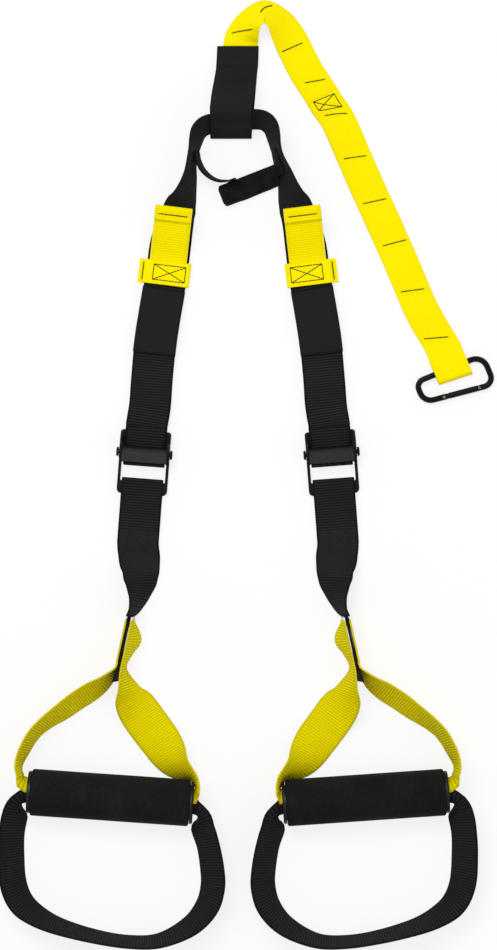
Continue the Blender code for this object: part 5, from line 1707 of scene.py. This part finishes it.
@dataclass
class MainStrap:
    """One arm's main run, its tail, and its turn round the buckle's cross bar."""

    side: Side
    cross_bar_edge: float = 0.0086

    def build(self) -> None:
        """Make the run, the tail and the turn."""
        label = self.side.label
        mouth = Vector((*TRACK.buckle(0.0, TRACK.frame_top + TRACK.overrun), 0.0))
        keeper = Vector((*TRACK.point(TRACK.keeper_distance - TRACK.keeper_width / 2), 0.0))
        top = Vector((*TRACK.point(TRACK.length), 0.0))
        for word, start, layer, first, last, bodies in (
                ("run", TRACK.length, 0, top, mouth, ("trainer", f"buckle_{label}")),
                ("tail", TRACK.keeper_distance + TRACK.keeper_width / 2, 1, mouth, keeper,
                 (f"buckle_{label}", f"adjuster_{label}"))):
            strap = Strap(f"{word}_webbing_{label}", TRACK.rows(start, layer), WEB_WIDTH,
                          WEB_THICKNESS, self.side)
            thing = strap.build(BLACK_WEB, Slot.BLACK)
            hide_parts(f"main_run_{label}" if layer == 0 else f"tail_{label}")
            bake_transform(thing)
        run, plate, tail = TRACK.buckle_heights()
        end = TRACK.frame_top + TRACK.overrun - PLY_GAP / 3
        points = [(end, run), (end / 2, run)]
        points += arc((-self.cross_bar_edge, plate), (tail - run) / 2, -90.0, -270.0, 12)
        points += [(end / 2, tail), (end, tail)]
        turn = Strap(f"turn_webbing_{label}", folded_rows(points, TRACK.buckle_plane()), WEB_WIDTH,
                     WEB_THICKNESS, self.side, tucked=0.0014)
        carry(turn.build(BLACK_WEB, Slot.BLACK), f"buckle_{label}", f"strap_turn_{label}")


@dataclass
class CamBuckle:
    """The stamped frame, its toothed cam and the headed pin."""

    side: Side

    def dress(self) -> None:
        """Dress the buckle's CAD nodes."""
        label = self.side.label
        dress_node(f"buckle_frame_{label}", BUCKLE_STEEL, 0.0003)
        dress_node(f"buckle_cam_{label}", CAM_STEEL, 0.0002)
        dress_node(f"cam_pin_{label}", BUCKLE_STEEL, 0.0002)
        dress_node(f"cam_spring_{label}", BRIGHT_STEEL, 0.00005)


@dataclass(frozen=True)
class HandleSizes:
    """Sizes of the handle, grip and foot cradle, and the frame they hang in."""

    wrap_length: float = 0.091
    wrap_aside: float = 0.0019
    frame_bottom: float = 0.0372
    lower_bar: float = 0.0117
    lower_span: float = 0.055
    drift_share: float = 0.1404
    tilt: float = 3.95
    reach: float = 0.158
    joint_end: Spot = (0.0158, 0.658)
    joint_share: float = 0.377
    joint_tilt: float = 8.4
    foam_length: float = 0.1422
    foam_diameter: float = 0.042
    cap_flange: float = 0.003
    handle_bore: Tuple[Station, ...] = (
        (0.55, 0.34, 0.35, 89.0), (0.92, 1.0, 0.1, 84.0), (1.0, 1.65, 0.0, 81.0))
    foot_bore: Tuple[Station, ...] = (
        (0.38, 0.10, 0.55, 84.0), (0.76, 0.55, 0.2, 67.0), (1.0, 1.35, 0.0, 55.0))

    @property
    def rise(self) -> float:
        """Return how high a strap on edge stands where it enters the grip."""
        return self.foam_diameter / 2 - WEB_WIDTH / 2

    def joint_point(self, distance: float, offset: float) -> Spot:
        """Find a place beside the sewn joint.

        Args:
            distance: The distance up from the joint's lower end.
            offset: The distance out from it.

        Returns:
            The place, in the handle's frame.
        """
        turn = math.radians(self.joint_tilt)
        x = self.joint_end[0] * self.reach - distance * math.sin(turn) + offset * math.cos(turn)
        y = self.joint_end[1] * self.reach + distance * math.cos(turn) + offset * math.sin(turn)
        return x, y

    def plane(self) -> Matrix:
        """Return the handle's frame.

        Returns:
            The frame in an arm's plan, with X out along the grip's axis.
        """
        x, y = TRACK.buckle(-self.wrap_aside, -self.wrap_length)
        turn = Matrix.Rotation(math.radians(self.tilt), 4, "Z")
        top = turn @ Vector((*self.joint_point(self.joint_share * self.reach, 0.0), 0.0))
        return plan_frame(x + self.drift_share * self.lower_span - top.x,
                          y - self.lower_span - top.y, self.tilt)

    def point(self, across: float, along: float) -> Spot:
        """Return a place in an arm's plan from one in the handle's frame."""
        place = self.plane() @ Vector((across, along, 0.0))
        return place.x, place.y

    def joint(self, share: float, offset: float) -> Spot:
        """Return a place in an arm's plan, beside a share of the sewn joint."""
        return self.point(*self.joint_point(share * self.joint_share * self.reach, offset))

    def grip_face(self) -> float:
        """Return the distance from the grip's middle to the outer face of its end cap."""
        return self.foam_length / 2 + PLY_GAP + self.cap_flange

    def bore(self, direction: float, radius: float, flare: float, bend: float,
             shares: Sequence[Station]) -> List[Station]:
        """Return the stations of a strap that leaves the grip's bore at one end and turns.

        Args:
            direction: The sign of X at that end.
            radius: The radius that the strap curls to in the bore.
            flare: How far out it turns.
            bend: The sign of Y that it turns to.
            shares: Its places beyond the bore as shares of the flare, with curl and lean.

        Returns:
            The stations.
        """
        curl = math.degrees(WEB_WIDTH / radius)
        reach = self.grip_face() + PLY_GAP
        places = [(inside * reach, radius, 1.0, 90.0) for inside in (0.0, 0.55, 1.0)]
        places += [(reach + out * flare, radius + turn * flare, share, lean)
                   for out, turn, share, lean in shares]
        return [(*self.point(direction * x, bend * y), self.rise, lean, curl * share)
                for x, y, share, lean in places]

    def route(self, shares: Sequence[Station], x_scale: float, y_scale: float) -> List[Station]:
        """Return stations in the handle's frame from a table of shares."""
        return [(*self.point(x * x_scale, y * y_scale), lift * self.rise, lean, 0.0)
                for x, y, lean, lift in shares]


SIZES = HandleSizes()


@dataclass
class LowerStrap:
    """The strap sewn back on itself round the frame's lower bar, which twists below the seam."""

    side: Side
    bends: Tuple[Station, ...] = ((0.875, 0.03), (0.929, 0.32), (1.0, 1.0))
    shares: Tuple[Station, ...] = (
        (0.124, -0.033, 12.0, 0.9), (0.239, -0.068, 26.0, 0.5), (0.369, -0.086, 34.0, 0.15),
        (0.463, -0.101, 42.0, 0.0), (0.566, -0.103, 52.0, 0.0), (0.680, -0.101, 62.0, 0.0),
        (0.795, -0.084, 70.0, 0.0), (0.910, -0.052, 77.0, 0.0))
    sewn_share: float = 0.9
    seam_middle: float = 0.078
    seam_reach: float = 0.0092
    bend: Spot = (0.004, -0.012)

    def rows(self) -> List[Row]:
        """Lay out the strap.

        Returns:
            Its rows, from the sewn end round the bar and down to the handle.
        """
        run, plate, tail = TRACK.buckle_heights()
        radius = (tail - run) / 2
        lower = WEB_THICKNESS / 2
        upper = lower + WEB_THICKNESS + PLY_GAP
        clear = -SIZES.frame_bottom - WEB_THICKNESS
        points: List[Station] = [(-self.sewn_share * SIZES.wrap_length, lower), (2 * clear, lower),
                                 (clear * 1.4, (run + lower) / 2), (clear, run)]
        points += arc((-SIZES.frame_bottom + SIZES.lower_bar, plate), radius, -90.0, 90.0, 12)
        points += [(clear, tail), (clear * 1.4, upper + 0.25 * radius), (2 * clear, upper)]
        rows = folded_rows(points, TRACK.buckle_plane())
        lift = upper - WEB_THICKNESS / 2
        stations: List[Station] = []
        for along, aside in self.bends:
            place = TRACK.buckle(-aside * SIZES.wrap_aside, -along * SIZES.wrap_length)
            stations.append((*place, lift, 0.0, 0.0))
        start_x, start_y = TRACK.buckle(-SIZES.wrap_aside, -SIZES.wrap_length)
        for down, aside, lean, raised in self.shares:
            x = start_x + (aside + down * SIZES.drift_share) * SIZES.lower_span
            stations.append((x, start_y - down * SIZES.lower_span, raised * lift, lean, 0.0))
        sewn = ((1.0, 82.0), (0.92, 87.0), (0.82, 90.0), (0.5, 90.0), (0.2, 88.0), (0.0, 83.0))
        stations += [(*SIZES.joint(share, 0.0), 0.0, lean, 0.0) for share, lean in sewn]
        return face_rows(rows + lying_rows(stations, WEB_WIDTH, WEB_THICKNESS))

    def build(self) -> None:
        """Make the strap and its sewn box."""
        label = self.side.label
        strap = Strap(f"lower_webbing_{label}", self.rows(), WEB_WIDTH, WEB_THICKNESS, self.side)
        thing = strap.build(LOWER_WEB, Slot.BLACK)
        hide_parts(f"lower_wrap_{label}", f"lower_strap_{label}")
        seams = Sewing(f"lower_seams_{label}", strap, 0.00024)
        first = next(mark for row, mark in zip(strap.rows, strap.marks) if row.face.z < -0.5)
        middle, reach = self.seam_middle, self.seam_reach
        corners = []
        for across, along in ((-1, -1), (1, -1), (1, 1), (-1, 1)):
            spot = TRACK.buckle(across * reach, along * reach - middle)
            place = strap.placed(Vector((*spot, 0.0)))
            corners.append(strap.locate(place.x, place.y, first))
        seams.boxed_cross(corners)
        for piece in (thing, seams.build(BLACK_THREAD, Slot.BLACK)):
            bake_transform(piece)


@dataclass
class HandleStrap:
    """The yellow strap: down one leg, through the grip and up the other leg."""

    side: Side
    curl_radius: float = 0.0121
    outer_flare: float = 0.0085
    inner_flare: float = 0.0014
    outer_shares: Tuple[Station, ...] = (
        (0.054, 0.680, 76.0, 0.0), (0.092, 0.636, 68.0, 0.0), (0.148, 0.592, 62.0, 0.0),
        (0.232, 0.529, 62.0, 0.0), (0.305, 0.467, 64.0, 0.0), (0.383, 0.405, 69.0, 0.1),
        (0.446, 0.342, 73.0, 0.3), (0.484, 0.280, 75.0, 0.6), (0.512, 0.215, 77.0, 0.9))
    inner_shares: Tuple[Station, ...] = (
        (-0.466, 0.140, 78.0, 0.9), (-0.440, 0.158, 69.0, 0.6), (-0.404, 0.176, 58.0, 0.4),
        (-0.368, 0.198, 47.0, 0.2), (-0.333, 0.232, 34.0, 0.1), (-0.297, 0.280, 19.0, 0.1),
        (-0.262, 0.328, 9.0, 0.1), (-0.222, 0.374, 2.0, 0.1), (-0.177, 0.427, -3.0, 0.1),
        (-0.127, 0.491, -12.0, 0.1), (-0.082, 0.560, -34.0, 0.0), (-0.056, 0.622, -62.0, 0.0))

    def build(self) -> None:
        """Make the strap."""
        label = self.side.label
        ply = WEB_THICKNESS + 2 * PLY_GAP
        outer = [(*SIZES.joint(share, ply), 0.0, 90.0, 0.0)
                 for share in (1.0, 0.8, 0.6, 0.45, 0.32, 0.22)]
        outer += SIZES.route(self.outer_shares, SIZES.reach, SIZES.reach)
        into = SIZES.bore(1.0, self.curl_radius, self.outer_flare, 1.0, SIZES.handle_bore)
        out = SIZES.bore(-1.0, self.curl_radius, self.inner_flare, 1.0, SIZES.handle_bore)
        inner = SIZES.route(self.inner_shares, SIZES.reach, SIZES.reach)
        for share, lean in ((0.2, -84.0), (0.45, -80.0), (0.65, -72.0), (0.8, -79.0), (0.9, -86.0),
                            (1.0, -89.0)):
            aside = WEB_WIDTH / 2 * math.cos(math.radians(lean))
            inner.append((*SIZES.joint(share, -ply - aside), 0.0, lean, 0.0))
        stations = outer + list(reversed(into)) + out[1:] + inner
        rows = lying_rows(stations, WEB_WIDTH, WEB_THICKNESS, 0.003)
        strap = Strap(f"handle_webbing_{label}", rows, WEB_WIDTH, WEB_THICKNESS, self.side,
                      columns=12, mirrored=True)
        thing = strap.build(YELLOW_HANDLE_WEB, Slot.YELLOW)
        carry(thing, f"handle_{label}", f"handle_strap_{label}")


@dataclass
class FootCradle:
    """The black strap for a foot, whose ends meet inside the grip's bore."""

    side: Side
    reach: float = 0.128
    half_width: float = 0.092
    flare: float = 0.0096
    curl_radius: float = 0.0089
    shares: Tuple[Station, ...] = (
        (0.935, -0.300, 56.0, 0.5), (0.928, -0.450, 55.0, 0.0), (0.892, -0.640, 55.0, 0.0),
        (0.801, -0.776, 58.0, 0.0), (0.646, -0.860, 65.0, 0.0), (0.414, -0.926, 73.0, 0.0),
        (0.056, -0.979, 78.0, 0.0), (-0.280, -1.000, 79.0, 0.0), (-0.572, -0.976, 76.0, 0.0),
        (-0.855, -0.863, 66.0, 0.0), (-1.008, -0.722, 58.0, 0.0), (-1.053, -0.579, 55.0, 0.0),
        (-1.035, -0.450, 55.0, 0.0), (-0.985, -0.300, 56.0, 0.5))

    def build(self) -> None:
        """Make the cradle."""
        label = self.side.label
        out = SIZES.bore(1.0, self.curl_radius, self.flare, -1.0, SIZES.foot_bore)
        back = SIZES.bore(-1.0, self.curl_radius, self.flare, -1.0, SIZES.foot_bore)
        loop = SIZES.route(self.shares, self.half_width, self.reach)
        way = Vector(SIZES.point(PLY_GAP, 0.0)) - Vector(SIZES.point(0.0, 0.0))
        out[0] = (out[0][0] + way.x, out[0][1] + way.y, *out[0][2:])
        back[0] = (back[0][0] - way.x, back[0][1] - way.y, *back[0][2:])
        rows = lying_rows(out + loop + list(reversed(back)), WEB_WIDTH, WEB_THICKNESS, 0.003)
        strap = Strap(f"foot_webbing_{label}", rows, WEB_WIDTH, WEB_THICKNESS, self.side,
                      columns=12)
        carry(strap.build(BLACK_WEB, Slot.BLACK), f"foot_{label}", f"foot_strap_{label}")


@dataclass
class Grip:
    """The foam grip on its tube, with a cap at each end."""

    side: Side
    edge: float = 0.002
    bore: float = 0.0134
    wall: float = 0.0012
    collar: float = 0.001
    collar_length: float = 0.008
    steps: int = 72
    edge_steps: int = 5
    face_steps: int = 48
    dent: float = 0.00018
    dent_pitch: float = 22.0
    dent_turn: float = 0.8

    def profile(self) -> List[Spot]:
        """Lay out the foam's section.

        Returns:
            Pairs of a radius and a distance along the grip.
        """
        foam, half, edge = SIZES.foam_diameter / 2, SIZES.foam_length / 2, self.edge
        inner = self.bore + self.wall + PLY_GAP
        seat = inner + self.collar + PLY_GAP
        shelf = half - self.collar_length - PLY_GAP
        turned = arc((half - edge, foam - edge), edge, 0.0, 90.0, self.edge_steps)
        corner = [(radius, along) for along, radius in turned]
        count = self.face_steps
        face = [(foam, (half - edge) * (1.0 - 2.0 * step / count)) for step in range(1, count)]
        far = [(radius, -along) for radius, along in reversed(corner)]
        hollow = [(seat, -half), (seat, -shelf), (inner, -shelf), (inner, shelf), (seat, shelf)]
        return [(seat, half)] + corner + face + far + hollow

    def skin(self, radius: float, along: float, turn: float) -> Vector:
        """Place a point of the section, sunk a little where the foam is dented.

        Args:
            radius: The point's radius.
            along: Its distance along the grip.
            turn: The angle that the section is turned to.

        Returns:
            The point, in the grip's frame.
        """
        aside, up = math.cos(turn), math.sin(turn)
        if radius > SIZES.foam_diameter / 2.2:
            probe = Vector((along * self.dent_pitch, aside * self.dent_turn,
                            up * self.dent_turn + self.side.value))
            radius -= self.dent * (1.0 + noise.noise(probe)) / 2
        return Vector((along, radius * aside, radius * up))

    def build(self) -> None:
        """Turn the foam, with its faint dents, and dress the tube and caps."""
        label = self.side.label
        plane = SIZES.plane() @ Matrix.Translation((0.0, 0.0, SIZES.foam_diameter / 2))
        shape = bmesh.new()
        profile = self.profile()
        rings = []
        for step in range(self.steps):
            turn = 2.0 * math.pi * step / self.steps
            ring = []
            for radius, along in profile:
                place = plane @ self.skin(radius, along, turn)
                ring.append(shape.verts.new(
                    Vector((place.x * self.side.value, place.y, place.z)) + TRAINER_MIDDLE))
            rings.append(ring)
        for step in range(self.steps):
            here, there = rings[step], rings[(step + 1) % self.steps]
            for index in range(len(profile)):
                after = (index + 1) % len(profile)
                face = shape.faces.new((here[index], here[after], there[after], there[index]))
                face.smooth = True
        bmesh.ops.recalc_face_normals(shape, faces=shape.faces)
        for line in shape.edges:
            line.smooth = line.calc_face_angle(0.0) < math.radians(40.0)
        thing = finish_mesh(f"foam_{label}", shape, GRIP_FOAM)
        carry(thing, f"grip_{label}", f"foam_grip_{label}")
        for word in ("grip_tube", "end_cap_outer", "end_cap_inner"):
            dress_node(f"{word}_{label}", GRIP_PLASTIC, 0.0002)


# Floor, lamps and camera


@dataclass
class Studio:
    """A plain white floor, soft light and the photograph's straight look down."""

    floor_size: float = 9.0
    lens: float = 150.0
    sensor: float = 36.0
    cover: float = 0.855
    middle: Spot = (0.00165, -0.0024)
    sky: float = 0.64
    key_place: Station = (-0.5, 0.9, 2.35)
    key_power: float = 31.0
    key_size: float = 1.0
    fill_place: Station = (1.4, -0.6, 1.6)
    fill_power: float = 4.65
    fill_size: float = 1.6

    def build_floor(self) -> None:
        """Make the floor, which shows white and keeps a soft shadow."""
        bench = Bench("pale floor")
        light = bench.node("ShaderNodeLightPath")
        seen = Shade(bench, light.outputs["Is Camera Ray"])
        for name in ("Is Glossy Ray", "Is Transmission Ray"):
            seen = seen.larger(Shade(bench, light.outputs[name]))
        matte = bench.add("ShaderNodeBsdfDiffuse", None, {"Color": (0.9, 0.9, 0.9, 1.0)})
        inputs = {"Color": (1.0, 1.0, 1.0, 1.0), "Strength": 1.0}
        white = bench.add("ShaderNodeEmission", None, inputs)
        both = bench.node("ShaderNodeMixShader", None, {0: seen * 0.8, 1: matte, 2: white})
        end = bench.node("ShaderNodeOutputMaterial")
        bench.tree.links.new(both.outputs[0], end.inputs[0])
        half = self.floor_size / 2
        shape = bmesh.new()
        shape.faces.new([shape.verts.new((x, y, -0.0001)) for x, y in
                         ((-half, -half), (half, -half), (half, half), (-half, half))])
        mesh = bpy.data.meshes.new("floor")
        shape.to_mesh(mesh)
        shape.free()
        mesh.materials.append(bench.material)
        floor = bpy.data.objects.new("floor", mesh)
        bpy.context.scene.collection.objects.link(floor)

    def build_sky(self) -> None:
        """Make the even light from all round, which the camera sees as white."""
        world = bpy.data.worlds.new("studio")
        bpy.context.scene.world = world
        world.use_nodes = True
        tree = world.node_tree
        light = tree.nodes.new("ShaderNodeLightPath")
        strength = tree.nodes.new("ShaderNodeMapRange")
        tree.links.new(light.outputs["Is Camera Ray"], strength.inputs["Value"])
        strength.inputs["To Min"].default_value = self.sky
        strength.inputs["To Max"].default_value = 1.0
        shader = tree.nodes["Background"]
        shader.inputs["Color"].default_value = (1.0, 1.0, 1.0, 1.0)
        tree.links.new(strength.outputs["Result"], shader.inputs["Strength"])

    def build_lamp(self, place: Vector, power: float, size: float) -> None:
        """Add one soft square lamp.

        Args:
            place: Where it stands, facing the trainer.
            power: Its power in watts.
            size: Its side.
        """
        data = bpy.data.lights.new("soft lamp", "AREA")
        data.energy = power
        data.size = size
        lamp = bpy.data.objects.new("soft_lamp", data)
        lamp.location = place
        lamp.rotation_euler = (Vector((0.0, 0.0, 0.0)) - place).to_track_quat("-Z", "Y").to_euler()
        bpy.context.scene.collection.objects.link(lamp)

    def build_camera(self) -> None:
        """Set up the camera straight above the trainer."""
        data = bpy.data.cameras.new("camera")
        data.lens = self.lens
        data.sensor_fit = "VERTICAL"
        data.sensor_height = self.sensor
        camera = bpy.data.objects.new("camera", data)
        distance = self.cover * self.lens / self.sensor
        camera.location = (*self.middle, distance)
        bpy.context.scene.collection.objects.link(camera)
        bpy.context.scene.camera = camera

    def build(self) -> None:
        """Set up floor, light and camera."""
        self.build_floor()
        self.build_sky()
        self.build_lamp(Vector(self.key_place), self.key_power, self.key_size)
        self.build_lamp(Vector(self.fill_place), self.fill_power, self.fill_size)
        self.build_camera()
        bpy.context.scene.view_settings.view_transform = "Standard"
        LOG.info("studio is set")


def clear_defaults() -> None:
    """Remove what a new file holds besides the frame."""
    kept = set(frame["nodes"].values()) | set(frame["bodies"].values())
    for thing in list(bpy.data.objects):
        if thing not in kept:
            bpy.data.objects.remove(thing, do_unlink=True)


def main() -> None:
    """Build and dress the whole trainer and its studio."""
    logging.basicConfig(level=logging.INFO, format="%(name)s: %(message)s")
    clear_defaults()
    Studio().build()
    CROWN.build()
    END_LOOP.build()
    seat = CarabinerSeat()
    AnchorStrap(seat).build()
    seat.dress()
    ClosureBands().build()
    for side in Side:
        MainStrap(side).build()
        Adjuster(side).build()
        CamBuckle(side).dress()
        LowerStrap(side).build()
        HandleStrap(side).build()
        FootCradle(side).build()
        Grip(side).build()


if __name__ == "__main__":
    main()
